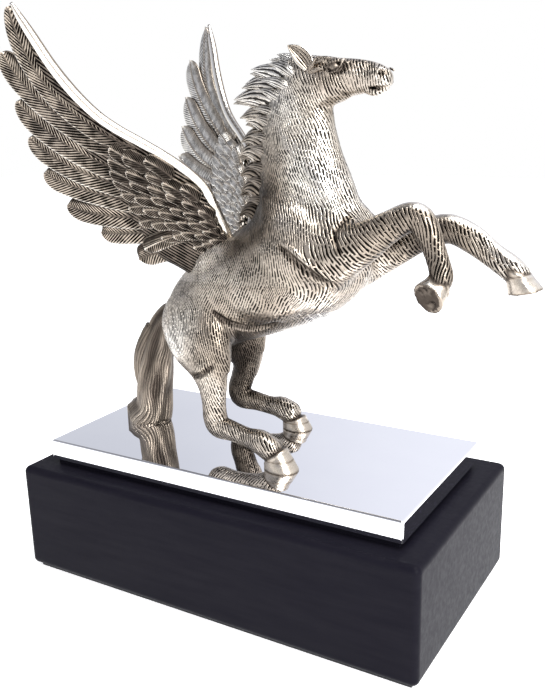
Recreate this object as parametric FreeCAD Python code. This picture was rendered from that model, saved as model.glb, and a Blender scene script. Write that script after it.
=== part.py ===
# Winged-horse hood ornament on its display plinth, in millimetres.
#
# The rearing horse is a set of plated castings: a body with neck and head, four legs, two wings and a
# tail. Each casting meets its neighbour on a filed joint with steel dowels across it. Threaded studs in
# the two hind hooves and in the tail pass through a folded mirror plate, a packer board and a rounded
# wooden block, and are clamped by nuts in counterbores under the block, behind a felt pad.
#
# Frame: +Z up, +X is where the horse looks, +Y its left. The origin is the middle of the felt's
# underside, which is the face that the ornament rests on.
import FreeCAD, Part
import math
import os

V = FreeCAD.Vector

# ---- driving dimensions -------------------------------------------------------------------------
BLOCK_LENGTH = 150.0
BLOCK_WIDTH = 82.0
BLOCK_HEIGHT = 38.2
BLOCK_EDGE_RADIUS = 2.2
FELT_THICKNESS = 1.5
FELT_INSET = 2.5
PLATE_LENGTH = 134.0
PLATE_WIDTH = 67.0
PLATE_SHEET = 1.2
PLATE_SKIRT = 6.9
PLATE_BEND_RADIUS = 0.7
STEP_HEIGHT = 2.1
STEP_INSET = 1.6
PACKER_CLEARANCE = 0.15

STUD_RADIUS = 1.5
STUD_CLEARANCE = 0.25
THREAD_CLEARANCE = 0.03
STUD_DEPTH_IN_CASTING = 4.5
COUNTERBORE_RADIUS = 6.0
COUNTERBORE_DEPTH = 9.0
WASHER_RADIUS = 4.5
WASHER_THICKNESS = 0.8
NUT_ACROSS_FLATS = 5.5
NUT_THICKNESS = 2.4
STUD_PAST_NUT = 1.5

DOWEL_RADIUS = 1.0
DOWEL_CLEARANCE = 0.05
DOWEL_LENGTH = 7.0

BLOCK_BOTTOM = FELT_THICKNESS
COUNTERBORE_TOP = BLOCK_BOTTOM + COUNTERBORE_DEPTH
BLOCK_TOP = BLOCK_BOTTOM + BLOCK_HEIGHT
STEP_TOP = BLOCK_TOP + STEP_HEIGHT
PLATE_TOP = STEP_TOP + PLATE_SKIRT

# Where the ornament stands on the plate: (x, y) of each stud.
NEAR_HOOF = (18.6, -18.0)
FAR_HOOF = (6.8, 16.4)
TAIL_FOOT = (-50.0, 0.0)
STUDS = [NEAR_HOOF, FAR_HOOF, TAIL_FOOT]

# ---- the horse's forms: each row is (x, y, z, half-width across the body, half-depth) ------------
TRUNK = [
    (-37.5, 0, 85.0, 4.0, 5.0),
    (-33.5, 0, 87.0, 10.5, 11.0),
    (-25.0, 0, 91.5, 14.5, 16.5),
    (-11.0, 0, 100.0, 14.5, 17.5),
    (5.0, 0, 107.5, 15.5, 19.0),
    (18.0, 0, 113.5, 15.5, 19.5),
    (28.0, 0, 118.0, 13.5, 16.5),
    (35.5, 0, 121.0, 9.5, 12.0),
    (40.0, 0, 122.5, 4.5, 6.0),
]
NECK = [
    (22.0, 0, 112.0, 11.5, 15.0),
    (21.5, 0, 121.0, 11.5, 17.0),
    (19.5, 0, 133.0, 10.0, 17.0),
    (17.7, 0, 145.0, 8.6, 13.8),
    (17.0, 0, 155.0, 7.6, 11.6),
    (17.6, 0, 162.5, 6.9, 9.6),
    (19.0, 0, 169.0, 5.6, 6.6),
]
HEAD = [
    (11.0, 0, 170.5, 3.0, 3.2),
    (15.5, 0, 170.0, 5.8, 6.2),
    (23.0, 0, 168.8, 6.0, 7.2),
    (30.0, 0, 168.3, 4.9, 6.2),
    (36.0, 0, 168.2, 3.9, 4.9),
    (41.5, 0, 167.6, 3.7, 4.3),
    (45.5, 0, 167.0, 3.5, 4.0),
    (47.8, 0, 166.9, 2.2, 2.6),
]
CREST = [
    (12.0, 0, 175.5, 1.2, 2.5),
    (6.5, 0, 171.5, 1.8, 6.4),
    (3.0, 0, 164.0, 2.2, 8.6),
    (2.4, 0, 155.0, 2.4, 7.6),
    (2.6, 0, 146.0, 2.4, 6.8),
    (3.4, 0, 136.0, 2.0, 5.6),
    (6.0, 0, 126.0, 1.6, 3.5),
]
RIGHT_THIGH = [
    (-20.0, -6.0, 93.0, 7.5, 14.0),
    (-17.0, -10.5, 85.0, 7.5, 14.5),
    (-12.5, -13.2, 77.0, 6.0, 9.8),
    (-9.6, -14.6, 70.0, 4.3, 5.4),
    (-9.3, -15.0, 64.0, 3.4, 4.4),
    (-9.8, -15.2, 57.5, 3.4, 4.2),
]
RIGHT_SHANK = [
    (-12.0, -15.0, 58.6, 3.0, 3.0),
    (-8.5, -15.3, 58.8, 3.5, 3.9),
    (0.0, -16.0, 57.8, 3.0, 3.5),
    (6.0, -16.6, 56.8, 2.9, 3.3),
    (11.0, -17.1, 55.8, 3.3, 3.7),
    (16.0, -17.8, 54.0, 3.0, 3.0),
]
LEFT_THIGH = [
    (-21.0, 6.0, 93.0, 7.5, 14.0),
    (-19.0, 10.5, 85.0, 7.5, 14.5),
    (-15.5, 13.0, 77.0, 6.0, 9.8),
    (-14.6, 14.0, 70.0, 4.3, 5.6),
    (-17.0, 14.6, 63.5, 3.5, 4.6),
    (-19.3, 15.0, 57.0, 3.4, 4.2),
]
LEFT_SHANK = [
    (-22.0, 15.0, 57.2, 3.0, 3.0),
    (-18.5, 15.1, 57.2, 3.5, 3.9),
    (-10.0, 15.5, 56.4, 3.0, 3.6),
    (-4.5, 15.8, 55.6, 2.9, 3.5),
    (0.0, 16.0, 55.0, 3.2, 3.7),
    (4.5, 16.2, 53.6, 3.0, 3.0),
]
RIGHT_ARM = [
    (24.0, -6.0, 113.5, 6.0, 10.0),
    (33.0, -9.0, 117.0, 6.5, 9.5),
    (43.0, -10.6, 121.5, 4.6, 6.4),
    (52.0, -11.0, 126.6, 3.7, 4.6),
    (59.0, -11.0, 130.4, 3.6, 4.2),
    (63.0, -11.0, 131.0, 2.6, 3.0),
]
RIGHT_SHIN = [
    (60.0, -11.0, 131.6, 2.8, 3.0),
    (62.6, -11.0, 128.8, 3.3, 3.8),
    (65.4, -11.0, 123.5, 2.7, 3.0),
    (67.4, -11.0, 118.0, 2.7, 3.1),
    (68.3, -11.0, 113.6, 3.1, 3.5),
    (67.4, -11.0, 109.8, 2.6, 2.8),
]
LEFT_ARM = [
    (25.0, 6.0, 112.0, 6.0, 10.0),
    (34.0, 8.5, 113.5, 6.3, 8.5),
    (44.0, 9.0, 117.0, 4.6, 6.0),
    (53.0, 9.0, 121.2, 3.7, 4.6),
    (61.0, 9.0, 124.2, 3.6, 4.3),
    (65.0, 9.0, 124.8, 2.8, 3.2),
]
LEFT_SHIN = [
    (60.5, 9.0, 125.2, 3.0, 3.2),
    (64.5, 9.0, 124.4, 3.5, 4.0),
    (71.0, 9.0, 121.0, 3.0, 3.8),
    (77.5, 9.0, 117.0, 2.8, 3.4),
    (82.0, 9.0, 114.2, 3.0, 3.4),
    (85.5, 9.0, 112.2, 2.6, 2.8),
]
TAIL = [
    (-34.5, 0, 92.5, 3.0, 3.2),
    (-39.5, 0, 90.0, 3.8, 4.2),
    (-42.3, 0, 84.0, 4.6, 5.0),
    (-43.4, 0, 76.0, 5.2, 5.6),
    (-44.2, 0, 67.0, 5.4, 6.2),
    (-45.6, 0, 59.0, 5.8, 6.8),
    (-48.4, 0, 52.5, 7.0, 8.4),
    (-50.6, 0, 46.0, 7.6, 9.2),
]
# Each hoof: centre of the coronet, centre of the sole, radius at each.
HOOVES = {
    "right_hind_leg": ((15.6, -17.6, 55.2), (19.2, -18.2, PLATE_TOP), 3.5, 5.2),
    "left_hind_leg": ((4.2, 16.2, 54.6), (7.6, 16.4, PLATE_TOP), 3.5, 5.0),
    "right_foreleg": ((67.2, -11.0, 110.6), (64.8, -11.0, 104.6), 3.3, 4.6),
    "left_foreleg": ((84.6, 9.0, 113.0), (89.0, 9.0, 109.4), 3.2, 4.5),
}
SOLE_LIP = 0.6
SOLE_LENGTHENING = 1.15
LIMBS = {
    "right_foreleg": (RIGHT_ARM, RIGHT_SHIN),
    "left_foreleg": (LEFT_ARM, LEFT_SHIN),
    "right_hind_leg": (RIGHT_THIGH, RIGHT_SHANK),
    "left_hind_leg": (LEFT_THIGH, LEFT_SHANK),
}

# ---- wings: each row is a section, (leading edge, trailing edge, thickness), of the left wing -----
WING = [
    ((1.0, 5.0, 119.0), (-26.0, 4.0, 103.0), 6.0),
    ((-4.5, 9.5, 128.0), (-31.5, 11.0, 110.0), 5.0),
    ((-9.7, 15.1, 139.2), (-36.5, 18.5, 116.5), 4.2),
    ((-14.9, 21.3, 145.6), (-43.5, 26.0, 124.0), 3.8),
    ((-21.1, 26.8, 150.9), (-50.6, 31.6, 132.3), 3.4),
    ((-26.9, 32.2, 156.5), (-54.2, 35.5, 141.2), 3.1),
    ((-32.5, 37.7, 162.0), (-56.0, 38.6, 150.0), 2.8),
    ((-36.9, 41.3, 169.0), (-56.5, 41.5, 159.5), 2.5),
    ((-40.9, 44.2, 176.6), (-56.0, 44.5, 170.0), 2.2),
    ((-44.5, 46.9, 184.3), (-53.5, 47.3, 181.0), 1.8),
    ((-48.4, 49.8, 191.0), (-50.6, 49.6, 190.4), 1.0),
]
WING_CAMBER = 0.06
WING_OUTWARD = V(-0.5, 0.5, 0.7)

# ---- joints between castings: (point on the joint, direction into the limb) ----------------------
LIMB_JOINTS = {
    "right_foreleg": ((45.5, -10.7, 122.8), (0.87, 0.0, 0.49)),
    "left_foreleg": ((46.5, 9.0, 118.0), (0.92, 0.0, 0.39)),
    "right_hind_leg": ((-9.8, -14.4, 71.0), (0.10, -0.05, -0.99)),
    "left_hind_leg": ((-14.6, 13.9, 71.0), (-0.05, 0.05, -0.99)),
}
REACH = 120.0
TAIL_DOWEL = ((-40.0, 0.0, 88.8), (-0.6, 0.0, -0.8))
LEFT_WING_DOWELS = [
    ((-10.0, 8.7, 117.2), (-0.47, 0.47, 0.75)),
    ((-19.5, 8.9, 111.5), (-0.47, 0.56, 0.68)),
]
RIGHT_WING_DOWELS = [((x, -y, z), (dx, -dy, dz)) for (x, y, z), (dx, dy, dz) in LEFT_WING_DOWELS]

SECTION_POINTS = 12


def unit(vector):
    return V(vector).normalize()


def oval_points(centre, across, depth, half_width, half_depth):
    """Points round an oval, half_width along across and half_depth along depth."""
    points = []
    for i in range(SECTION_POINTS):
        angle = 2 * math.pi * i / SECTION_POINTS
        offset = across * (half_width * math.cos(angle)) + depth * (half_depth * math.sin(angle))
        points.append(centre + offset)
    return points


def section(centre, across, depth, half_width, half_depth):
    curve = Part.BSplineCurve()
    curve.interpolate(Points=oval_points(centre, across, depth, half_width, half_depth), PeriodicFlag=True)
    return Part.Wire(curve.toShape())


def tube(stations):
    """A solid lofted through oval sections, each square to the line of the stations' centres."""
    centres = [V(*row[:3]) for row in stations]
    wires = []
    for i, row in enumerate(stations):
        before = centres[max(i - 1, 0)]
        after = centres[min(i + 1, len(centres) - 1)]
        along = unit(after - before)
        across = unit(V(0, 1, 0) - along * along.y)
        wires.append(section(centres[i], across, along.cross(across), row[3], row[4]))
    return Part.makeLoft(wires, True, False)


def hoof(coronet, sole, top_radius, sole_radius):
    """A flaring hoof with a short upright lip round the sole; a hind hoof's sole is level."""
    top, bottom = V(*coronet), V(*sole)
    axis = unit(top - bottom)
    stands = abs(bottom.z - PLATE_TOP) < 1e-6
    upright_axis = V(0, 0, 1) if stands else axis
    across = unit(V(0, 1, 0) - upright_axis * upright_axis.y)
    depth = across.cross(upright_axis)
    side = unit(V(0, 1, 0) - axis * axis.y)
    lip = bottom + upright_axis * SOLE_LIP
    wires = [
        section(top, side, side.cross(axis), top_radius, top_radius),
        section(lip, across, depth, sole_radius, sole_radius * SOLE_LENGTHENING),
        section(bottom, across, depth, sole_radius, sole_radius * SOLE_LENGTHENING),
    ]
    return Part.makeLoft(wires, True, True)


def left_wing_blade():
    """The left wing: a thin cambered blade with flat facets between its sections."""
    wires = []
    for lead, trail, thickness in WING:
        chord = V(*lead) - V(*trail)
        middle = V(*trail) + chord * 0.5
        normal = unit(chord.cross(WING_OUTWARD))
        points = []
        for i in range(SECTION_POINTS):
            angle = 2 * math.pi * i / SECTION_POINTS
            along = math.cos(angle)
            sag = WING_CAMBER * chord.Length * (1 - along * along)
            points.append(middle + chord * (along / 2) + normal * (thickness / 2 * math.sin(angle) - sag))
        wires.append(Part.makePolygon(points + points[:1]))
    return Part.makeLoft(wires, True, True)


def mirrored(shape):
    return shape.mirror(V(0, 0, 0), V(0, 1, 0))


def beyond(point, direction):
    """A block that holds everything within reach on the far side of a joint plane."""
    block = Part.makeBox(2 * REACH, 2 * REACH, REACH, V(-REACH, -REACH, 0))
    block.Placement = FreeCAD.Placement(V(*point), FreeCAD.Rotation(V(0, 0, 1), V(*direction)))
    return block


def above_plate(shape):
    return shape.common(beyond((0, 0, PLATE_TOP), (0, 0, 1)))


def main_solid(shape):
    return max(shape.Solids, key=lambda solid: solid.Volume)


def rod(place, radius, length):
    """A cylinder centred on the place's point, along its direction."""
    point, direction = place
    axis = unit(V(*direction))
    return Part.makeCylinder(radius, length, V(*point) - axis * (length / 2), axis)


def dowel_pins(places):
    return Part.makeCompound([rod(place, DOWEL_RADIUS, DOWEL_LENGTH) for place in places])


def dowel_holes(places):
    radius = DOWEL_RADIUS + DOWEL_CLEARANCE
    return [rod(place, radius, DOWEL_LENGTH + 2 * DOWEL_CLEARANCE) for place in places]


def upright(places, radius, bottom, top):
    """Upright cylinders at the (x, y) places."""
    return [Part.makeCylinder(radius, top - bottom, V(x, y, bottom)) for x, y in places]


def centred_box(length, width, bottom, top):
    return Part.makeBox(length, width, top - bottom, V(-length / 2, -width / 2, bottom))


def with_stud_holes(shape, radius):
    return shape.cut(Part.makeCompound(upright(STUDS, radius, 0, PLATE_TOP + STUD_DEPTH_IN_CASTING)))


# ---- the plinth ----------------------------------------------------------------------------------
def base_felt():
    return centred_box(BLOCK_LENGTH - 2 * FELT_INSET, BLOCK_WIDTH - 2 * FELT_INSET, 0, FELT_THICKNESS)


def base_block():
    block = centred_box(BLOCK_LENGTH, BLOCK_WIDTH, BLOCK_BOTTOM, BLOCK_TOP)
    block = block.makeFillet(BLOCK_EDGE_RADIUS, block.Edges)
    step_length = PLATE_LENGTH - 2 * STEP_INSET
    step_width = PLATE_WIDTH - 2 * STEP_INSET
    block = block.fuse(centred_box(step_length, step_width, BLOCK_TOP - STEP_HEIGHT, STEP_TOP))
    block = with_stud_holes(block, STUD_RADIUS + STUD_CLEARANCE)
    pockets = upright(STUDS, COUNTERBORE_RADIUS, 0, COUNTERBORE_TOP)
    return block.cut(Part.makeCompound(pockets)).removeSplitter()


def plate_packer():
    gap = PLATE_SHEET + PACKER_CLEARANCE
    board = centred_box(PLATE_LENGTH - 2 * gap, PLATE_WIDTH - 2 * gap, STEP_TOP, PLATE_TOP - PLATE_SHEET)
    return with_stud_holes(board, STUD_RADIUS + STUD_CLEARANCE)


def display_plate():
    """A sheet folded down on all four sides, open underneath."""
    outside = centred_box(PLATE_LENGTH, PLATE_WIDTH, STEP_TOP, PLATE_TOP)
    bends = [edge for edge in outside.Edges if edge.BoundBox.ZMax > PLATE_TOP - PLATE_SKIRT / 2]
    outside = outside.makeFillet(PLATE_BEND_RADIUS, bends)
    inner_length = PLATE_LENGTH - 2 * PLATE_SHEET
    inner_width = PLATE_WIDTH - 2 * PLATE_SHEET
    tray = outside.cut(centred_box(inner_length, inner_width, STEP_TOP, PLATE_TOP - PLATE_SHEET))
    return with_stud_holes(tray, STUD_RADIUS + STUD_CLEARANCE)


# ---- the fasteners -------------------------------------------------------------------------------
def studs(places):
    bottom = COUNTERBORE_TOP - WASHER_THICKNESS - NUT_THICKNESS - STUD_PAST_NUT
    return Part.makeCompound(upright(places, STUD_RADIUS, bottom, PLATE_TOP + STUD_DEPTH_IN_CASTING))


def washers():
    bottom = COUNTERBORE_TOP - WASHER_THICKNESS
    discs = upright(STUDS, WASHER_RADIUS, bottom, COUNTERBORE_TOP)
    bores = upright(STUDS, STUD_RADIUS + STUD_CLEARANCE, bottom, COUNTERBORE_TOP)
    return Part.makeCompound([disc.cut(bore) for disc, bore in zip(discs, bores)])


def nuts():
    top = COUNTERBORE_TOP - WASHER_THICKNESS
    bottom = top - NUT_THICKNESS
    corner = NUT_ACROSS_FLATS / math.sqrt(3)
    bores = upright(STUDS, STUD_RADIUS + THREAD_CLEARANCE, bottom, top)
    hexagons = []
    for (x, y), bore in zip(STUDS, bores):
        turns = [i * math.pi / 3 for i in range(7)]
        outline = [V(x + corner * math.cos(a), y + corner * math.sin(a), bottom) for a in turns]
        prism = Part.Face(Part.makePolygon(outline)).extrude(V(0, 0, NUT_THICKNESS))
        hexagons.append(prism.cut(bore))
    return Part.makeCompound(hexagons)


# ---- the figure ----------------------------------------------------------------------------------
def figure():
    """The castings of the figure: {node name: shape}, each one trimmed to meet the next."""
    body = tube(TRUNK).multiFuse([tube(NECK), tube(HEAD), tube(CREST)])
    castings = {}
    for name, (upper, lower) in LIMBS.items():
        limb = tube(upper).multiFuse([tube(lower), hoof(*HOOVES[name])])
        joint = beyond(*LIMB_JOINTS[name])
        castings[name] = above_plate(limb.common(joint))
        body = body.fuse(limb.cut(joint))
    castings["body_casting"] = body
    castings["tail"] = above_plate(tube(TAIL)).cut(body)
    wing = left_wing_blade()
    castings["left_wing"] = wing.cut(body)
    castings["right_wing"] = mirrored(wing).cut(body)
    holes = dowel_holes(list(LIMB_JOINTS.values()) + [TAIL_DOWEL] + LEFT_WING_DOWELS + RIGHT_WING_DOWELS)
    holes += upright(STUDS, STUD_RADIUS + THREAD_CLEARANCE, PLATE_TOP, PLATE_TOP + STUD_DEPTH_IN_CASTING)
    drilled = Part.makeCompound(holes)
    return {name: main_solid(main_solid(shape).cut(drilled)) for name, shape in castings.items()}


def main():
    os.makedirs("parts", exist_ok=True)
    nodes = figure()
    nodes["base_felt"] = base_felt()
    nodes["base_block"] = base_block()
    nodes["plate_packer"] = plate_packer()
    nodes["display_plate"] = display_plate()
    nodes["foreleg_dowels"] = dowel_pins([LIMB_JOINTS["right_foreleg"], LIMB_JOINTS["left_foreleg"]])
    nodes["hind_leg_dowels"] = dowel_pins([LIMB_JOINTS["right_hind_leg"], LIMB_JOINTS["left_hind_leg"]])
    nodes["tail_dowel"] = dowel_pins([TAIL_DOWEL])
    nodes["left_wing_dowels"] = dowel_pins(LEFT_WING_DOWELS)
    nodes["right_wing_dowels"] = dowel_pins(RIGHT_WING_DOWELS)
    nodes["hoof_studs"] = studs([NEAR_HOOF, FAR_HOOF])
    nodes["tail_stud"] = studs([TAIL_FOOT])
    nodes["stud_washers"] = washers()
    nodes["stud_nuts"] = nuts()
    for name, shape in nodes.items():
        print(name, "valid" if shape.isValid() else "INVALID", len(shape.Solids), "solids",
              round(shape.Volume), "mm3", shape.BoundBox)
        shape.exportStep("parts/" + name + ".step")


main()
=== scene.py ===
# Looks for the winged-horse hood ornament: chased silver castings, feathered wings, mane and tail on a
# mirror plate and a black block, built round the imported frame. Shapes are worked out in millimetres in
# the row frame (+X where the horse looks, +Y its left, +Z up) and turned to metres as meshes are made.
import math

import bpy
import numpy as np
import openvdb
from mathutils import Matrix, Vector


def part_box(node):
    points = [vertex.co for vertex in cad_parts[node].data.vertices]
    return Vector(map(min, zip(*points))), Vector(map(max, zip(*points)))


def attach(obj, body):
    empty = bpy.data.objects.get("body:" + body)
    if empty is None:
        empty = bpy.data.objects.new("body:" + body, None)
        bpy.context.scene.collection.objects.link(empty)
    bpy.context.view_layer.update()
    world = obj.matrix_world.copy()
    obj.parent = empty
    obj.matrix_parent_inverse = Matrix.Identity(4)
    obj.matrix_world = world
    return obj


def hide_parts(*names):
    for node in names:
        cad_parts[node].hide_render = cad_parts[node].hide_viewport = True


MM = 0.001
# The sculpted figure's grid step, and how far from the skin its distances are worked out.
VOXEL = 0.44
BAND = 5.0
SEED = 11

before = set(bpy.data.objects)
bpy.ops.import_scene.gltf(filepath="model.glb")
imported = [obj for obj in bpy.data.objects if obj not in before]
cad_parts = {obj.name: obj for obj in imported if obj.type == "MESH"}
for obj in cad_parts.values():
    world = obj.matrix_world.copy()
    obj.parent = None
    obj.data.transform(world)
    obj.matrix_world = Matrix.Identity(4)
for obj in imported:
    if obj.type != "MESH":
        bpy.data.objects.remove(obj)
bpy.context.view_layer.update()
PLATE_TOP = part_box("display_plate")[1].z / MM

# ---- forms of the horse: rows of (x, y, z, half-width across the body, half-depth) -----------------
TRUNK = [
    (-33.4, 0, 86.2, 5.0, 3.8), (-31.3, 0, 87.4, 10.0, 7.0), (-23.7, 0, 90.8, 13.6, 13.4),
    (-11.0, 0, 99.5, 14.0, 16.6), (5.0, 0, 107.0, 15.2, 18.4), (18.0, 0, 113.5, 15.4, 19.4),
    (28.0, 0, 118.0, 13.6, 16.4), (35.0, 0, 121.0, 10.5, 12.2), (38.0, 0, 122.5, 7.0, 8.0),
]
NECK = [
    (23.0, 0, 112.0, 11.5, 15.0), (21.8, 0, 122.0, 11.3, 17.2), (19.6, 0, 133.0, 9.6, 16.8),
    (17.7, 0, 145.0, 8.0, 14.0), (17.2, 0, 154.0, 7.1, 12.3), (18.4, 0, 161.5, 6.5, 10.4),
    (20.5, 0, 167.0, 5.6, 7.4),
]
HEAD = [
    (16.5, 0, 171.6, 3.6, 4.0), (20.0, 0, 170.0, 5.0, 5.8), (25.0, 0, 168.0, 5.5, 7.1),
    (30.0, 0, 167.9, 4.9, 6.6), (34.5, 0, 168.5, 4.0, 5.4), (39.0, 0, 168.5, 3.4, 4.7),
    (43.0, 0, 168.0, 3.2, 4.1), (44.8, 0, 167.5, 3.0, 3.6),
]
# Legs as rows down to the pastern; the hind ones are blended in first.
LEGS = {
    "right_hind_leg": [
        (-20.0, -6.0, 94.0, 7.5, 13.0), (-16.6, -9.8, 86.4, 7.6, 12.0), (-12.0, -12.8, 78.6, 5.8, 7.6),
        (-9.4, -14.4, 71.5, 4.3, 5.0), (-8.6, -15.0, 66.0, 3.6, 4.2), (-8.2, -15.1, 61.0, 3.5, 4.4),
        (-6.6, -15.2, 58.2, 3.5, 4.2), (-1.0, -15.9, 57.6, 3.0, 3.5), (5.5, -16.6, 56.8, 2.9, 3.3),
        (10.5, -17.1, 56.3, 3.8, 4.1), (14.8, -17.5, 54.6, 3.9, 4.2),
    ],
    "left_hind_leg": [
        (-21.0, 6.0, 94.0, 7.5, 13.5), (-19.0, 9.8, 86.0, 7.8, 13.6), (-15.0, 12.8, 78.0, 6.0, 9.0),
        (-14.2, 14.0, 71.5, 4.4, 5.2), (-16.0, 14.6, 66.0, 3.7, 4.5), (-18.0, 15.0, 60.6, 3.6, 4.4),
        (-16.8, 15.1, 57.6, 3.5, 4.2), (-11.0, 15.5, 56.8, 3.0, 3.6), (-5.0, 15.8, 56.0, 3.0, 3.4),
        (-0.8, 16.0, 55.8, 3.8, 4.1), (3.0, 16.1, 54.4, 3.9, 4.2),
    ],
    "right_foreleg": [
        (24.0, -6.0, 113.5, 6.0, 10.0), (33.0, -9.0, 117.0, 6.3, 9.2), (43.0, -10.6, 121.8, 4.5, 6.2),
        (51.5, -11.0, 127.0, 3.6, 4.7), (57.5, -11.0, 130.2, 3.5, 4.2), (60.6, -11.0, 130.4, 3.5, 4.0),
        (62.9, -11.0, 127.6, 3.4, 4.0), (65.3, -11.0, 122.4, 2.8, 3.4), (67.2, -11.0, 117.2, 2.8, 3.3),
        (67.9, -11.2, 113.8, 3.3, 3.5), (66.9, -12.0, 111.4, 3.2, 3.4),
    ],
    "left_foreleg": [
        (25.0, 6.0, 112.0, 6.0, 10.0), (34.0, 8.5, 113.5, 6.3, 8.5), (44.0, 9.0, 117.2, 4.6, 6.0),
        (53.0, 9.0, 121.6, 3.7, 4.8), (60.5, 9.0, 124.4, 3.6, 4.6), (65.0, 9.0, 124.2, 3.6, 4.4),
        (70.5, 9.0, 121.6, 3.1, 4.3), (76.0, 9.0, 117.8, 2.8, 3.8), (81.0, 9.0, 114.6, 3.4, 3.9),
        (83.8, 9.0, 112.4, 3.4, 3.7),
    ],
}
# Muscles of the right side, each (start, end, half-width, half-depth); the left side has them mirrored.
MUSCLES = [
    ((-31.5, -6.0, 97.0), (-14.0, -13.4, 72.5), 4.9, 6.0),
    ((-25.5, -6.6, 101.5), (-5.5, -12.9, 82.0), 5.2, 7.8),
    ((-17.5, -12.0, 97.0), (-3.0, -13.5, 77.5), 4.8, 5.8),
    ((-12.5, -14.0, 86.0), (-5.6, -15.4, 68.0), 3.2, 4.2),
    ((8.5, -8.6, 133.5), (32.5, -11.9, 112.0), 5.0, 7.8),
    ((9.5, -12.1, 118.6), (36.5, -12.7, 112.8), 3.5, 4.9),
    ((28.0, -7.0, 129.5), (45.0, -5.3, 118.5), 4.8, 5.6),
    ((11.5, -5.2, 154.5), (35.0, -6.0, 126.5), 3.4, 4.8),
    ((28.0, -10.4, 113.8), (53.0, -11.3, 126.6), 4.0, 4.8),
    ((-7.0, -10.3, 104.0), (27.0, -10.3, 105.0), 5.7, 9.0),
    ((-22.0, -6.5, 108.5), (-2.0, -8.6, 119.5), 3.4, 4.4),
]
# Folds in the skin of each side, behind the elbow, on the flank, on the breast, over the stifle and at
# the throat: x, z, half-width and half-depth of each place along them. The ridge is over the elbow.
CREASES = [
    [(18.5, 120.2, 0.4, 0.4), (22.4, 117.6, 1.0, 1.0), (28.0, 113.4, 1.1, 1.1), (33.5, 110.2, 0.6, 0.7)],
    [(-8.0, 97.0, 0.4, 0.4), (-2.9, 93.2, 1.1, 1.1), (3.4, 91.7, 1.2, 1.2), (8.6, 92.8, 0.9, 0.9),
     (13.5, 95.0, 0.4, 0.4)],
    [(38.0, 129.2, 0.4, 0.4), (35.5, 125.0, 0.7, 0.7), (38.5, 120.0, 0.4, 0.4)],
    [(-14.8, 75.0, 0.7, 0.6), (-10.5, 76.8, 0.6, 0.6), (-7.0, 79.4, 0.4, 0.4)],
    [(30.5, 158.0, 0.4, 0.4), (31.5, 161.5, 0.8, 0.7), (34.0, 163.6, 0.5, 0.5)],
]
RIDGES = [
    [(20.0, 121.6, 0.5, 0.4), (24.4, 118.8, 0.9, 0.7), (29.6, 115.2, 1.0, 0.8), (35.0, 111.4, 0.6, 0.5)],
]
# The right side of the head, as muscles: cheek, brow, cheekbone, nostril, upper lip and lower lip.
HEAD_FORMS = [
    ((19.5, -3.9, 165.8), (30.5, -3.6, 165.6), 2.2, 5.4),
    ((29.0, -4.0, 173.6), (35.0, -3.2, 172.9), 0.9, 0.8),
    ((31.5, -4.0, 169.6), (41.5, -2.6, 169.2), 0.7, 0.8),
    ((41.0, -2.4, 169.9), (46.4, -2.3, 168.8), 1.3, 1.7),
    ((42.4, -1.6, 166.9), (47.3, -1.5, 166.6), 1.5, 1.1),
    ((40.0, -1.1, 163.9), (45.4, -1.0, 164.2), 1.5, 1.0),
]
# Centre and radius of the right eye.
EYE = (31.6, -3.7, 171.4)
EYE_RADIUS = 1.75
# Each hoof: coronet centre, its plane's forward direction, sole centre, the sole's outward normal, size.
HOOVES = {
    "right_hind_leg": ((16.4, -17.6, 53.3), (0.77, 0.0, 0.63), (18.8, -18.0, PLATE_TOP), (0, 0, -1), 5.6),
    "left_hind_leg": ((4.3, 16.2, 52.4), (0.93, 0.0, 0.36), (5.6, 16.4, PLATE_TOP), (0, 0, -1), 5.3),
    "right_foreleg": ((67.3, -11.7, 111.5), (0.78, 0.12, -0.61), (65.2, -14.6, 108.2),
                      (-0.24, -0.92, -0.30), 4.7),
    "left_foreleg": ((83.8, 9.0, 114.0), (0.94, 0.0, -0.34), (86.3, 9.0, 107.5), (0.22, 0.08, -0.97), 4.9),
}
# Where each leg meets the body: a point on the joint and the direction into the leg, as in the castings.
JOINTS = {
    "right_foreleg": ((45.5, -10.7, 122.8), (0.87, 0.0, 0.49)),
    "left_foreleg": ((46.5, 9.0, 118.0), (0.92, 0.0, 0.39)),
    "right_hind_leg": ((-9.8, -14.4, 71.0), (0.10, -0.05, -0.99)),
    "left_hind_leg": ((-14.6, 13.9, 71.0), (-0.05, 0.05, -0.99)),
}
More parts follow.
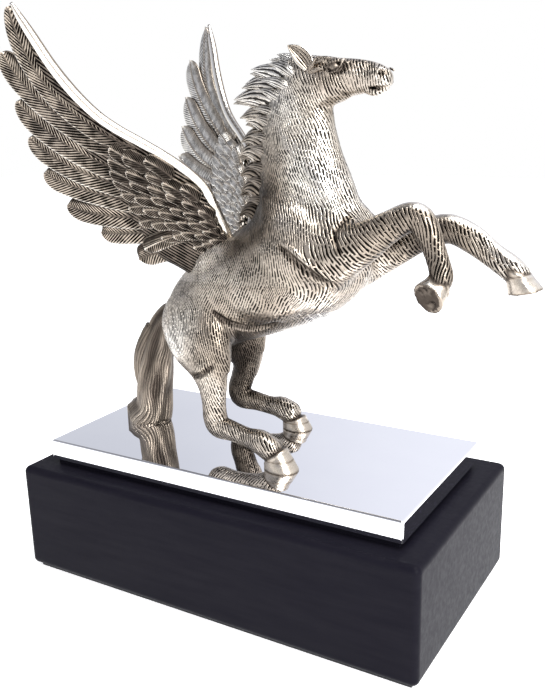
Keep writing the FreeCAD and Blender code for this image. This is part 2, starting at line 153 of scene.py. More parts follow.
# Lie of the chased hair on the right side: point on the skin, direction of the strokes there.
HAIR = [
    ((32, -5, 168), (-0.25, 0, 0.97)), ((42, -4, 167), (-0.15, 0, 0.99)),
    ((22, -6, 167), (-0.60, 0, 0.80)), ((19, -8, 160), (-0.62, 0, 0.78)), ((8, -6, 158), (-0.10, 0, 1.0)),
    ((29, -5, 155), (-0.55, 0, 0.84)), ((19, -8, 148), (-0.62, 0, 0.78)),
    ((7, -7, 146), (-0.20, 0, 0.98)), ((32, -4, 146), (-0.45, 0, 0.89)),
    ((22, -10, 134), (-0.60, 0, 0.80)), ((6, -8, 134), (-0.35, 0, 0.94)),
    ((40, -5, 133), (-0.62, 0, 0.78)), ((43, -5, 122), (-0.50, 0, 0.87)),
    ((24, -14, 120), (-0.20, 0, 0.98)), ((10, -14, 114), (0.10, 0, 1.0)),
    ((32, -13, 114), (-0.80, 0, 0.60)), ((42, -13, 121), (-0.88, 0, 0.48)),
    ((52, -13, 127), (-0.78, 0, 0.62)), ((60, -13, 132), (-0.35, 0, 0.94)),
    ((65, -13, 122), (0.40, 0, 0.92)), ((68, -13, 115), (0.45, 0, 0.89)),
    ((0, -15, 104), (0.35, 0, 0.94)), ((12, -15, 99), (0.52, 0, 0.85)), ((20, -8, 93), (0.56, 0, 0.83)),
    ((32, -8, 103), (0.60, 0, 0.80)), ((-14, -9, 112), (0.52, 0, 0.85)),
    ((-28, -9, 101), (0.50, 0, 0.87)), ((-34, -7, 90), (0.10, 0, 0.99)),
    ((-20, -16, 88), (-0.35, 0, 0.94)), ((-5, -16, 84), (-0.45, 0, 0.89)),
    ((-10, -18, 73), (-0.55, 0, 0.84)), ((-9, -18, 62), (-0.50, 0, 0.87)),
    ((3, -19, 57), (-0.57, 0, 0.82)), ((12, -19, 55), (-0.50, 0, 0.87)),
    ((60, -6, 124), (-0.60, 0, 0.80)), ((72, -6, 120), (-0.55, 0, 0.83)),
    ((82, -6, 114), (-0.55, 0, 0.83)), ((-15, -11, 70), (0.45, 0, 0.89)),
    ((-18, -12, 59), (-0.20, 0, 0.98)), ((-8, -12, 57), (-0.55, 0, 0.83)),
]
# How far one place in HAIR or TARNISH_SHADE_AND_CUT is felt, and the full stroke, all in millimetres.
# Each lane's breaks come a golden share of a stroke further on than its neighbour's.
HAIR_REACH = 6.0
TARNISH_SHADE_REACH = 5.5
STROKE_PITCH = 1.06
STROKE_LENGTH = 4.2
STROKE_DEPTH = 0.13
GOLDEN = 0.618034
# The silver on the right side: point on the skin, darkness from 0 for bright to 1 for brown-black,
# partly tarnish and partly painted shade, as on the insides of the legs and where the mane meets the
# neck, and how coarsely the hair is cut there, as a share of the full stroke.
TARNISH_SHADE_AND_CUT = [
    ((27, -6, 167), 0.38, 0.85), ((38, -5, 169), 0.34, 0.80), ((45, -3, 167), 0.25, 0.8),
    ((17, -8, 163), 0.0, 0.66), ((26, -7, 151), 0.10, 0.86), ((8, -8, 147), 0.24, 0.78),
    ((22, -10, 136), 0.0, 0.80), ((36, -6, 134), 0.0, 0.80), ((7, -8, 133), 0.85, 0.75),
    ((4, -7, 126), 0.85, 0.75), ((24, -14, 122), 0.38, 0.76), ((10, -14, 114), 0.36, 0.70),
    ((33, -13, 115), 0.36, 0.9), ((46, -12, 124), 0.58, 1.0), ((60, -12, 131), 0.68, 1.0),
    ((66, -12, 118), 0.88, 0.98), ((0, -15, 104), 0.34, 0.70), ((12, -15, 99), 0.48, 0.74),
    ((22, -8, 94), 0.06, 0.75), ((-14, -10, 108), 0.26, 0.68), ((-28, -9, 100), 0.22, 0.68),
    ((-22, -15, 88), 0.0, 0.70), ((-6, -15, 88), 0.46, 0.74), ((-10, -17, 72), 0.0, 0.62),
    ((-8, -17, 60), 0.30, 0.9), ((4, -18, 57), 0.32, 0.9), ((-14, -9, 71), 1.0, 0.7),
    ((-8, -9, 77), 1.0, 0.7), ((-15, -10, 63), 0.95, 0.7), ((40, -4, 108), 0.30, 0.9),
    ((-34, 0, 92), 0.5, 0.74), ((62, -7, 120), 0.95, 0.98), ((72, -8, 122), 0.22, 0.98),
    ((36, -4, 122), 0.30, 1.0),
]


# ---- small helpers ---------------------------------------------------------------------------------
def unit(v):
    v = np.asarray(v, float)
    return v / np.maximum(np.linalg.norm(v, axis=-1, keepdims=True), 1e-9)


def mirror_y(p):
    return (p[0], -p[1], p[2])


def left_side(place):
    """The place mirrored to the left, where the hind leg stands further back and the foreleg lower."""
    x, y, z = place
    back = 0.24 * max(0.0, 92.0 - z)
    drop = 4.5 * min(max((x - 30.0) / 14.0, 0.0), 1.0) * (105.0 < z < 135.0)
    return (x - back, -y, z - drop)


def smooth_rows(rows, step):
    """Rows every step millimetres along a Catmull-Rom curve through the given rows."""
    rows = np.asarray(rows, float)
    padded = np.vstack([2 * rows[0] - rows[1], rows, 2 * rows[-1] - rows[-2]])
    out = []
    for i in range(1, len(padded) - 2):
        p0, p1, p2, p3 = padded[i - 1:i + 3]
        count = max(2, int(np.linalg.norm((p2 - p1)[:3]) / step))
        t = np.arange(count)[:, None] / count
        out.append(0.5 * (2 * p1 + (p2 - p0) * t + (2 * p0 - 5 * p1 + 4 * p2 - p3) * t ** 2
                          + (3 * p1 - p0 - 3 * p2 + p3) * t ** 3))
    out.append(rows[-1:])
    return np.vstack(out)


def frames_along(centres):
    """Tangent, sideways and depth directions at each centre; sideways stays as near to Y as it can."""
    tangent = unit(np.gradient(centres, axis=0))
    sideways = unit(np.array([0.0, 1.0, 0.0]) - tangent * tangent[:, 1:2])
    return tangent, sideways, np.cross(tangent, sideways)


def ring_quads(rings, around):
    """Quads between each ring and the next."""
    i, j = np.meshgrid(np.arange(rings - 1), np.arange(around), indexing="ij")
    k = (j + 1) % around
    here, ahead = i * around, (i + 1) * around
    return np.stack([here + j, here + k, ahead + k, ahead + j], -1).reshape(-1, 4)


def end_fans(first, last, rings, around):
    """Triangles that close a stack of rings, whose end points have the indices first and last."""
    j = np.arange(around)
    k = (j + 1) % around
    base = (rings - 1) * around
    start = np.stack([np.full(around, first), k, j], -1)
    end = np.stack([np.full(around, last), base + j, base + k], -1)
    return np.vstack([start, end])


def closed_stack(rings):
    """A closed mesh through a (rings, around, 3) array of points, with a fan over each end."""
    count, around = rings.shape[:2]
    points = np.vstack([rings.reshape(-1, 3), rings[0].mean(0), rings[-1].mean(0)])
    fans = end_fans(count * around, count * around + 1, count, around)
    return points, fans, ring_quads(count, around)


def tube(rows, around=40, step=0.8):
    """A closed round-ended tube through rows of (x, y, z, half-width, half-depth)."""
    rows = smooth_rows(rows, step)
    tangent, sideways, depth = frames_along(rows[:, :3])
    caps = np.linspace(0.0, 1.0, 6)[1:] * math.pi / 2 * 0.97
    blocks = []
    for end, sign in ((0, -1), (-1, 1)):
        reach = rows[end, 3:].min()
        extra = [np.concatenate([rows[end, :3] + sign * tangent[end] * reach * math.sin(a),
                                 rows[end, 3:] * math.cos(a)]) for a in caps]
        blocks.append(np.array(extra))
    rows = np.vstack([blocks[0][::-1], rows, blocks[1]])
    n = len(caps)
    pad = lambda d: np.vstack([np.repeat(d[:1], n, 0), d, np.repeat(d[-1:], n, 0)])
    sideways, depth = pad(sideways), pad(depth)
    angle = np.linspace(0, 2 * math.pi, around, endpoint=False)[None, :, None]
    rings = (rows[:, None, :3] + sideways[:, None] * rows[:, None, 3:4] * np.cos(angle)
             + depth[:, None] * rows[:, None, 4:5] * np.sin(angle))
    return closed_stack(rings)


def spindle(start, end, half_width, half_depth):
    """A muscle: a tube that swells from a fine start and tapers away at its end."""
    t = np.linspace(0, 1, 13)[:, None]
    swell = 0.05 + 0.95 * np.sin(math.pi * t)
    centres = np.asarray(start) * (1 - t) + np.asarray(end) * t
    return tube(np.hstack([centres, half_width * swell, half_depth * swell]), around=28, step=1.2)


def ball(centre, radii):
    """An ellipsoid."""
    turns = np.linspace(0, math.pi, 18)[1:-1]
    angle = np.linspace(0, 2 * math.pi, 28, endpoint=False)
    rings = np.array([[(math.sin(a) * math.cos(b), math.sin(a) * math.sin(b), -math.cos(a)) for b in angle]
                      for a in turns])
    return closed_stack(rings * np.asarray(radii) + np.asarray(centre))


def hoof_solid(coronet, forward, sole, normal, size):
    """A hoof: a band at the coronet, a wall that flares to the sole, and narrower heels."""
    coronet, sole, down = np.array(coronet, float), np.array(sole, float), unit(normal)
    flat_x = unit(unit(forward) - down * (unit(forward) @ down))
    side = np.cross(down, flat_x)
    angle = np.linspace(0, 2 * math.pi, 48, endpoint=False)[:, None]
    narrow = 0.90 + 0.10 * np.cos(angle)
    top = coronet + unit(forward) * np.cos(angle) * size * 0.84 + side * np.sin(angle) * size * 0.74
    bottom = sole + flat_x * np.cos(angle) * size * 1.08 + side * np.sin(angle) * size * narrow * 0.96
    rings = [coronet + (top - coronet) * 0.90]
    for share, grow in ((0.06, 1.02), (0.14, 1.02), (0.20, 0.97), (0.55, 1.0), (0.86, 1.0), (0.97, 0.995)):
        ring = top * (1 - share) + bottom * share
        rings.append(ring.mean(0) + (ring - ring.mean(0)) * grow)
    rings.append(sole + (bottom - sole) * 0.96)
    return closed_stack(np.array(rings))


# ---- the sculpted figure, as a distance field --------------------------------------------------------
class Sculpture:
    """Distances to the surface on a grid, in millimetres, negative inside."""

    def __init__(self, low, high):
        self.low = np.floor(np.array(low) / VOXEL).astype(int)
        size = np.ceil(np.array(high) / VOXEL).astype(int) - self.low
        self.grid = np.full(size, BAND, np.float32)

    def _part(self, form):
        """The form's own distances and where they go in the grid."""
        points, triangles, quads = form
        level = openvdb.FloatGrid.createLevelSetFromPolygons(
            (points / VOXEL).astype(np.float32), triangles.astype(np.uint32), quads.astype(np.uint32),
            halfWidth=BAND / VOXEL)
        margin = BAND / VOXEL
        low = np.maximum(np.floor(points.min(0) / VOXEL - margin).astype(int), self.low)
        high = np.minimum(np.ceil(points.max(0) / VOXEL + margin).astype(int), self.low + self.grid.shape)
        block = np.zeros(high - low, np.float32)
        level.copyToArray(block, ijk=tuple(int(v) for v in low))
        where = tuple(slice(int(a), int(b)) for a, b in zip(low - self.low, high - self.low))
        return block * VOXEL, where

    def add(self, form, blend):
        """Join the form on, with a fillet of about blend."""
        block, where = self._part(form)
        old = self.grid[where]
        mix = np.clip(0.5 + 0.5 * (block - old) / blend, 0, 1)
        self.grid[where] = block * (1 - mix) + old * mix - blend * mix * (1 - mix)

    def carve(self, form, blend):
        """Cut the form away, with edges rounded by about blend."""
        block, where = self._part(form)
        old = self.grid[where]
        mix = np.clip(0.5 - 0.5 * (-block - old) / blend, 0, 1)
        self.grid[where] = -block * (1 - mix) + old * mix + blend * mix * (1 - mix)

    def sample(self, points):
        """Distances at the points, by trilinear interpolation."""
        local = points / VOXEL - self.low
        local = np.clip(local, 0, np.array(self.grid.shape) - 1.001)
        cell = np.floor(local).astype(int)
        part = local - cell
        total = np.zeros(len(points))
        for corner in np.ndindex(2, 2, 2):
            weight = np.prod(np.where(corner, part, 1 - part), axis=1)
            i, j, k = (cell + corner).T
            total += weight * self.grid[i, j, k]
        return total

    def skin(self, x, z, side):
        """Where the skin stands out furthest at x and z on one side."""
        line = np.stack([np.full(281, x), side * np.linspace(28, 0, 281), np.full(281, z)], -1)
        return line[np.argmax(self.sample(line) < 0)]

    def on_skin(self, rows, side):
        """Rows of x, z and sizes laid on the skin."""
        return [(*self.skin(row[0], row[1], side), *row[2:]) for row in rows]

    def surface(self):
        """The skin as points and quads that face outwards."""
        level = openvdb.FloatGrid(BAND)
        level.copyFromArray(self.grid, ijk=tuple(int(v) for v in self.low))
        points, quads = level.convertToQuads(isovalue=0.0)
        points = points.astype(float) * VOXEL
        quads = quads.astype(np.int64)
        a, b, c = points[quads[:, 0]], points[quads[:, 1]], points[quads[:, 2]]
        volume = np.einsum("ij,ij->i", a, np.cross(b, c)).sum()
        return points, quads if volume > 0 else quads[:, ::-1]


def both_sides(place):
    """The place and its mirror image, each with the side it is on."""
    return ((place, -1.0), (mirror_y(place), 1.0))


def sculpt_eye(horse, polished, centre, side):
    """A slanting almond eye between two lids, in a shallow socket."""
    x, y, z = centre
    socket = spindle((x - 3.4, y + side * 1.9, z - 1.7), (x + 3.4, y + side * 1.7, z + 2.0), 1.7, 1.1)
    horse.carve(socket, 0.4)
    eye = ball(centre, (EYE_RADIUS, EYE_RADIUS, EYE_RADIUS * 0.72))
    horse.add(eye, 0.1)
    polished.add(eye, 0.1)
    back, front = (x - 2.9, y + side * 1.0, z - 1.6), (x + 3.0, y + side * 0.6, z + 2.0)
    upper = [(*back, 0.35, 0.35), (x - 1.0, y + side * 1.2, z + 1.2, 0.6, 0.55), (*front, 0.35, 0.35)]
    lower = [(*back, 0.3, 0.3), (x + 1.0, y + side * 1.4, z - 0.9, 0.5, 0.4), (*front, 0.3, 0.3)]
    for lid in (upper, lower):
        horse.add(tube(lid, 20, 0.4), 0.4)


def sculpt_mouth(horse):
    """Parted lips at the front of a short mouth, and the nostrils."""
    horse.carve(tube([(41.5, 0, 165.3, 5.0, 0.2), (45.0, 0, 165.3, 5.0, 0.35), (49.5, 0, 165.5, 5.0, 0.8)],
                     32, 0.5), 0.3)
    horse.add(ball((44.4, 0, 165.3), (2.4, 1.6, 1.4)), 0.4)
    for side in (-1.0, 1.0):
        horse.carve(ball((45.8, side * 3.3, 169.5), (1.3, 1.0, 0.9)), 0.4)
        rim = [(44.4, side * 3.5, 169.0, 0.4, 0.4), (45.2, side * 3.9, 170.6, 0.5, 0.5),
               (46.9, side * 2.8, 170.1, 0.4, 0.4)]
        horse.add(tube(rim, 20, 0.4), 0.4)


def sculpt_body(horse):
    """Trunk, neck, head, legs and muscles."""
    horse.add(tube(TRUNK, 56), 0.1)
    horse.add(tube(NECK, 48), 6.0)
    horse.add(tube(HEAD, 44), 2.6)
    for name, rows in LEGS.items():
        horse.add(tube(rows), 4.5 if "hind" in name else 3.0)
    for start, end, width, depth in MUSCLES:
        horse.add(spindle(start, end, width, depth), 3.0)
        horse.add(spindle(left_side(start), left_side(end), width, depth), 3.0)


def sculpt_hooves(horse, polished):
    """The four hooves, which are polished."""
    for hoof in HOOVES.values():
        solid = hoof_solid(*hoof)
        horse.add(solid, 0.35)
        polished.add(solid, 0.1)


def pit_sole(horse):
    """Pits in the sole of the raised hoof."""
    centre, normal = np.array(HOOVES["right_foreleg"][2]), unit(HOOVES["right_foreleg"][3])
    rng = np.random.default_rng(SEED + 2)
    for _ in range(12):
        pit = centre + rng.uniform(-2.6, 2.6, 3)
        pit -= normal * ((pit - centre) @ normal - 0.7)
        horse.carve(ball(pit, rng.uniform(0.8, 1.3, 3)), 0.3)


def sculpt_horse():
    """The horse without wings, mane and tail, the field of its polished places alone, and its folds."""
    low, high = (-48, -30, PLATE_TOP - 3), (98, 30, 184)
    horse, polished = Sculpture(low, high), Sculpture(low, high)
    sculpt_body(horse)
    folds = [horse.on_skin(rows, side) for side in (-1, 1) for rows in CREASES]
    ridges = [horse.on_skin(rows, side) for side in (-1, 1) for rows in RIDGES]
    for rows in folds:
        horse.carve(tube(rows, 20), 1.0)
    for rows in ridges:
        horse.add(tube(rows, 20), 0.8)
    for start, end, width, depth in HEAD_FORMS:
        horse.add(spindle(start, end, width, depth), 1.0)
        horse.add(spindle(mirror_y(start), mirror_y(end), width, depth), 1.0)
    for centre, side in both_sides(EYE):
        sculpt_eye(horse, polished, centre, side)
    sculpt_mouth(horse)
    sculpt_hooves(horse, polished)
    withers_boss = tube([(-5.0, 0, 117.0, 3.2, 3.0), (-1.2, 0, 121.8, 4.2, 2.2)], 32, 0.5)
    horse.add(withers_boss, 0.5)
    polished.add(withers_boss, 0.1)
    pit_sole(horse)
    return horse, polished, folds


# ---- chased hair -----------------------------------------------------------------------------------
def blended(points, places, values, reach):
    """Values at the points, blended from the nearest places."""
    total = np.zeros((len(points), values.shape[1]))
    weight = np.zeros(len(points))
    for place, value in zip(places, values):
        share = np.exp(-((points - place) ** 2).sum(1) / (2 * reach ** 2)) + 1e-12
        total += share[:, None] * value
        weight += share
    return total / weight[:, None]


def hair_directions(points, normals):
    """A direction in the skin at each point: the guides' blend, rolled from the side view on to it."""
    places = np.array([p for p, _ in HAIR] + [mirror_y(p) for p, _ in HAIR], float)
    lie = unit(np.array([d for _, d in HAIR] * 2, float))
    flat = unit(blended(points, places, lie, HAIR_REACH))
    sideways = np.zeros_like(normals)
    sideways[:, 1] = np.where(normals[:, 1] > 0, 1, -1)
    roll = np.cross(sideways, normals)
    once = np.cross(roll, flat)
    return unit(flat + once + np.cross(roll, once) / (1 + np.abs(normals[:, 1:2])))


def vertex_normals(points, quads):
    """Normals at the points, weighted by the quads' areas."""
    a, b, c, d = (points[quads[:, i]] for i in range(4))
    flat = np.cross(c - a, d - b)
    total = np.zeros_like(points)
    for i in range(4):
        for k in range(3):
            total[:, k] += np.bincount(quads[:, i], flat[:, k], len(points))
    return unit(total)


def unique_edges(pairs, count):
    """Each pair of different points once, out of count points."""
    pairs = np.sort(pairs[pairs[:, 0] != pairs[:, 1]], axis=1)
    key = np.unique(pairs[:, 0] * count + pairs[:, 1])
    return np.stack([key // count, key % count], -1)


def settle(edges, rise, start, rounds):
    """Heights whose differences along the edges come nearest to rise, by conjugate gradients."""
    a, b = edges.T
    count = len(start)

    def spread(values):
        return np.bincount(b, values, count) - np.bincount(a, values, count)

    heights = start.copy()
    left = spread(rise - (heights[b] - heights[a]))
    step, size = left.copy(), left @ left
    for _ in range(rounds):
        push = spread(step[b] - step[a])
        gain = size / max(step @ push, 1e-12)
        heights += gain * step
        left -= gain * push
        new_size = left @ left
        step = left + new_size / max(size, 1e-12) * step
        size = new_size
    return heights


def lane_numbers(points, edges, side, slope):
    """A number at each point that climbs along the slope, a vector in the skin, by its length a millimetre.

    edges join points on the same side only, because lanes that went all round would not meet."""
    cells = np.floor(points / 2.0).astype(np.int64) + 500
    _, cluster = np.unique(cells @ np.array([2, 2000, 2000000]) + side, return_inverse=True)
    count = cluster.max() + 1
    size = np.bincount(cluster)
    mean = lambda v: np.stack([np.bincount(cluster, v[:, k]) / size for k in range(3)], -1)
    centres, slopes = mean(points), mean(slope)
    coarse = unique_edges(cluster[edges], count)
    a, b = coarse.T
    rise = (0.5 * (slopes[a] + slopes[b]) * (centres[b] - centres[a])).sum(1)
    rough = settle(coarse, rise, np.zeros(count), 500)
    start = rough[cluster] + (slopes[cluster] * (points - centres[cluster])).sum(1)
    a, b = edges.T
    rise = (0.5 * (slope[a] + slope[b]) * (points[b] - points[a])).sum(1)
    return settle(edges, rise, start, 150)


def lanes_wanted(points, edges, row, climb):
    """How many lanes belong at each point where row makes one: 1/2, 1, 2 or 4, to climb at that rate."""
    a, b = edges.T
    count = len(points)
    made = (row[b] - row[a]) ** 2
    length = ((points[b] - points[a]) ** 2).sum(1)
    made, length = (np.bincount(a, v, count) + np.bincount(b, v, count) + 1e-9 for v in (made, length))
    for _ in range(16):
        made, length = (values + np.bincount(a, values[b], count) + np.bincount(b, values[a], count)
                        for values in (made, length))
    return 2.0 ** np.clip(np.round(np.log2(climb / np.sqrt(2 * made / length))), -1, 2)


def relaid(row, lanes):
    """Row with so many lanes for each one, its own lanes among them."""
    return (row - 0.5) * lanes + 0.5


def near_line(distance, width):
    """1 on a line, falling to about a third at its width away and then to 0."""
    return np.exp(-(distance / width) ** 2)


def line_distance(points, places):
    """How far each point is from the line through the places."""
    near = np.full(len(points), np.inf)
    for start, end in zip(places, places[1:]):
        start, end = np.array(start[:3]), np.array(end[:3])
        share = np.clip((points - start) @ (end - start) / ((end - start) @ (end - start)), 0, 1)
        near = np.minimum(near, np.linalg.norm(points - start - share[:, None] * (end - start), axis=1))
    return near


def wobble(points, rng, wave, count=7):
    """A smooth random number at each point, between about -1 and 1."""
    total = np.zeros(len(points))
    for _ in range(count):
        direction = unit(rng.normal(size=3)) * 2 * math.pi / (wave * rng.uniform(0.7, 1.4))
        total += np.sin(points @ direction + rng.uniform(0, 6.28))
    return total / math.sqrt(count)


def stroke_depth(row, run):
    """The cut at each point, 0 to 1: lanes of strokes, each lane's breaks a golden share further on."""
    lane = np.floor(row)
    across = np.abs(row - lane - 0.5) * 2
    place = (run + lane * GOLDEN) % 1.0
    ends = np.clip(np.minimum(place, 1 - place) * 6, 0, 1)
    return np.clip(1.15 - across * 1.3, 0, 1) * ends


# ---- meshes and pieces -------------------------------------------------------------------------------
class Part:
    """A closed mesh and what the silver reads on it. row and run number the cuts across and along
    them, mask is where they are cut and shade is the darkness painted on it, tarnish and painted shade
    together. faces holds the triangles and then the quads, and rows the value of row at their corners."""

    def __init__(self, points, faces, rows, run, mask, shade):
        self.points, self.faces, self.rows = points, faces, rows
        self.run, self.mask, self.shade = run, mask, shade

    def mirrored(self):
        faces = [corners[:, ::-1] for corners in self.faces]
        rows = [values[:, ::-1] for values in self.rows]
        return Part(self.points * np.array([1, -1, 1]), faces, rows, self.run, self.mask, self.shade)


def spread_out(values, count):
    """A value for every point: one for all, or those of the ring points with the end rings' means for
    the fans' middles, or those of the first points with zeros for the rest."""
    values = np.asarray(values, float)
    if values.ndim == 0:
        return np.full(count, float(values))
    if values.ndim == 2:
        return np.concatenate([values.ravel(), [values[0].mean(), values[-1].mean()]])
    return np.concatenate([values, np.zeros(count - len(values))])


def part_of(form, row=0.0, run=0.5, mask=0.0, shade=0.0, around=0, wrap=0.0):
    """The form as a part. wrap is row's climb round a ring of so many points around."""
    points, triangles, quads = form
    faces = [np.asarray(triangles, np.int64), np.asarray(quads, np.int64)]
    row, run, mask, shade = (spread_out(values, len(points)) for values in (row, run, mask, shade))
    rows = [row[corners] for corners in faces]
    if around:
        column = faces[1] % around
        rows[1][column[:, 1] < column[:, 0], 1:3] += wrap
    return Part(points, faces, rows, run, mask, shade)


def joined(parts):
    """The parts as one part."""
    starts = np.cumsum([0] + [len(part.points) for part in parts])
    faces = [np.vstack([part.faces[k] + start for part, start in zip(parts, starts)]) for k in (0, 1)]
    rows = [np.vstack([part.rows[k] for part in parts]) for k in (0, 1)]
    values = (np.concatenate([getattr(part, name) for part in parts]) for name in ("run", "mask", "shade"))
    return Part(np.vstack([part.points for part in parts]), faces, rows, *values)


def make_mesh(name, part, normals=None):
    """A smooth-shaded mesh object of a part, from millimetres to metres."""
    tris, quads = part.faces
    mesh = bpy.data.meshes.new(name)
    mesh.vertices.add(len(part.points))
    mesh.vertices.foreach_set("co", (part.points * MM).astype(np.float32).ravel())
    corners = np.concatenate([tris.ravel(), quads.ravel()])
    mesh.loops.add(len(corners))
    mesh.loops.foreach_set("vertex_index", corners.astype(np.int32))
    sizes = np.concatenate([np.full(len(tris), 3), np.full(len(quads), 4)])
    mesh.polygons.add(len(sizes))
    mesh.polygons.foreach_set("loop_start", (np.cumsum(sizes) - sizes).astype(np.int32))
    mesh.polygons.foreach_set("use_smooth", np.ones(len(sizes), bool))
    mesh.update(calc_edges=True)
    row = mesh.attributes.new("row", "FLOAT", "CORNER")
    row.data.foreach_set("value", np.concatenate([r.ravel() for r in part.rows]).astype(np.float32))
    for label in ("run", "mask", "shade"):
        layer = mesh.attributes.new(label, "FLOAT", "POINT")
        layer.data.foreach_set("value", getattr(part, label).astype(np.float32))
    if normals is not None:
        mesh.normals_split_custom_set_from_vertices(normals.tolist())
    obj = bpy.data.objects.new(name, mesh)
    bpy.context.scene.collection.objects.link(obj)
    return obj


def place_piece(obj, material, slot, *nodes):
    """Give the piece its material, hang it under the root body and hide the CAD nodes it stands in for.
    slot is not used.
    """
    obj.data.materials.append(material)
    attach(obj, "root")
    if nodes:
        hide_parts(*nodes)


def boundary_loops(faces):
    """Closed loops of vertices round the open edges of a mesh of quads, turned to be filled."""
    edges = {(int(a), int(b)) for face in faces for a, b in zip(face, np.roll(face, -1))}
    following = {}
    for a, b in sorted(edges):
        if (b, a) not in edges:
            following.setdefault(b, []).append(a)
    loops = []
    while following:
        at, loop = next(iter(following)), []
        while at in following:
            loop.append(at)
            ahead = following[at].pop()
            if not following[at]:
                del following[at]
            at = ahead
        if len(loop) > 2:
            loops.append(loop)
    return loops


# ---- materials -------------------------------------------------------------------------------------
class Tree:
    """A node tree being built. Its functions take numbers, colours or other nodes' sockets as values."""

    def __init__(self, tree):
        self.nodes, self.links = tree.nodes, tree.links

    def fill(self, socket, value):
        if isinstance(value, bpy.types.NodeSocket):
            self.links.new(value, socket)
        elif isinstance(value, tuple):
            socket.default_value = (*value, 1)
        else:
            socket.default_value = value

    def place(self):
        """Where each point is on its own object."""
        return self.nodes.new("ShaderNodeTexCoord").outputs["Object"]

    def noise(self, place, scale, detail=3.0):
        node = self.nodes.new("ShaderNodeTexNoise")
        node.inputs["Scale"].default_value = scale
        node.inputs["Detail"].default_value = detail
        self.fill(node.inputs["Vector"], place)
        return node.outputs["Fac"]

    def ramp(self, value, stops):
        """A colour ramp from (position, grey or colour) stops."""
        node = self.nodes.new("ShaderNodeValToRGB")
        while len(node.color_ramp.elements) < len(stops):
            node.color_ramp.elements.new(0.5)
        for element, (position, colour) in zip(node.color_ramp.elements, stops):
            element.position = position
            element.color = (colour, colour, colour, 1) if isinstance(colour, float) else (*colour, 1)
        self.fill(node.inputs["Fac"], value)
        return node.outputs["Color"]

    def mix(self, kind, factor, first, second):
        """Two colours mixed. The node's sockets 0, 6 and 7 are the factor and the two colours."""
        node = self.nodes.new("ShaderNodeMix")
        node.data_type = "RGBA"
        node.blend_type = kind
        for number, value in ((0, factor), (6, first), (7, second)):
            self.fill(node.inputs[number], value)
        return node.outputs[2]

    def calc(self, kind, *values):
        node = self.nodes.new("ShaderNodeMath")
        node.operation = kind
        for socket, value in zip(node.inputs, values):
            self.fill(socket, value)
        return node.outputs[0]

    def remap(self, value, low, high, to_low, to_high):
        """The value carried smoothly from low..high to to_low..to_high."""
        node = self.nodes.new("ShaderNodeMapRange")
        node.interpolation_type = "SMOOTHSTEP"
        labels = ("Value", "From Min", "From Max", "To Min", "To Max")
        for label, number in zip(labels, (value, low, high, to_low, to_high)):
            self.fill(node.inputs[label], number)
        return node.outputs["Result"]

    def attribute(self, label):
        node = self.nodes.new("ShaderNodeAttribute")
        node.attribute_name = label
        return node.outputs["Fac"]

    def bump(self, shader, height, strength, distance):
        node = self.nodes.new("ShaderNodeBump")
        node.inputs["Strength"].default_value = strength
        node.inputs["Distance"].default_value = distance
        self.fill(node.inputs["Height"], height)
        self.fill(shader.inputs["Normal"], node.outputs["Normal"])


def new_material(name):
    material = bpy.data.materials.new(name)
    material.use_nodes = True
    tree = Tree(material.node_tree)
    return material, tree, tree.nodes["Principled BSDF"]


def cut_lines(tree, place, broken, width):
    """The engraver's cuts, 0 to 1, along the lanes of row, broken into strokes along run or unbroken."""
    calc, remap = tree.calc, tree.remap
    row, run = tree.attribute("row"), tree.attribute("run")
    lane = calc("FLOOR", row)
    across = calc("MULTIPLY", calc("ABSOLUTE", calc("SUBTRACT", calc("SUBTRACT", row, lane), 0.5)), 2.0)
    edge = remap(tree.noise(place, 350.0, 2.0), 0.3, 0.7, width * 0.6, width * 1.35)
    line = remap(across, calc("MULTIPLY", edge, 0.35), edge, 1.0, 0.0)
    if broken:
        stroke = calc("ADD", run, calc("MULTIPLY", lane, GOLDEN))
        along = calc("FRACT", stroke)
        from_end = calc("MINIMUM", along, calc("SUBTRACT", 1.0, along))
        number = tree.nodes.new("ShaderNodeCombineXYZ")
        tree.fill(number.inputs["X"], lane)
        tree.fill(number.inputs["Y"], calc("FLOOR", stroke))
        luck = tree.nodes.new("ShaderNodeTexWhiteNoise")
        tree.fill(luck.inputs["Vector"], number.outputs["Vector"])
        line = calc("MULTIPLY", line, remap(from_end, 0.02, 0.13, 0.0, 1.0))
        line = calc("MULTIPLY", line, remap(luck.outputs["Value"], 0.0, 0.6, 0.65, 1.0))
        line = calc("MULTIPLY", line, remap(tree.noise(place, 130.0, 2.0), 0.34, 0.50, 0.70, 1.0))
    return calc("MULTIPLY", line, tree.attribute("mask"))


def silver_material(name, broken, width, depth):
    """Silver plate, bright where hands rub it, brown with tarnish and painted shade where shade is high,
    and black in the cuts.
    """
    material, tree, shader = new_material(name)
    place = tree.place()
    cuts = cut_lines(tree, place, broken, width)
    tint, fine = tree.noise(place, 60.0), tree.noise(place, 900.0, 4.0)
    shade = tree.attribute("shade")
    metal = tree.ramp(tint, [(0.35, (0.88, 0.85, 0.79)), (0.65, (0.95, 0.93, 0.895))])
    # The shade attribute paints tarnish and shade together into the colour.
    patchy = tree.calc("MULTIPLY_ADD", tree.calc("SUBTRACT", tint, 0.5), 0.5, shade)
    tarnish_and_shade = tree.ramp(patchy, [(0.0, (1.0, 1.0, 1.0)), (0.3, (0.63, 0.585, 0.535)),
                                 (0.6, (0.35, 0.305, 0.262)), (1.0, (0.07, 0.058, 0.05))])
    black = tree.ramp(cuts, [(0.05, 1.0), (0.60, depth)])
    colour = tree.mix("MULTIPLY", 1.0, tree.mix("MULTIPLY", 1.0, metal, tarnish_and_shade), black)
    tree.fill(shader.inputs["Base Color"], colour)
    rough = tree.remap(fine, 0.3, 0.7, 0.13, 0.26)
    tree.fill(shader.inputs["Roughness"], tree.calc("ADD", rough, tree.calc("MULTIPLY", shade, 0.25)))
    shader.inputs["Metallic"].default_value = 1.0
    height = tree.calc("MULTIPLY_ADD", cuts, -1.0, tree.calc("MULTIPLY", fine, 0.25))
    tree.bump(shader, height, 0.7, 0.00022)
    return material


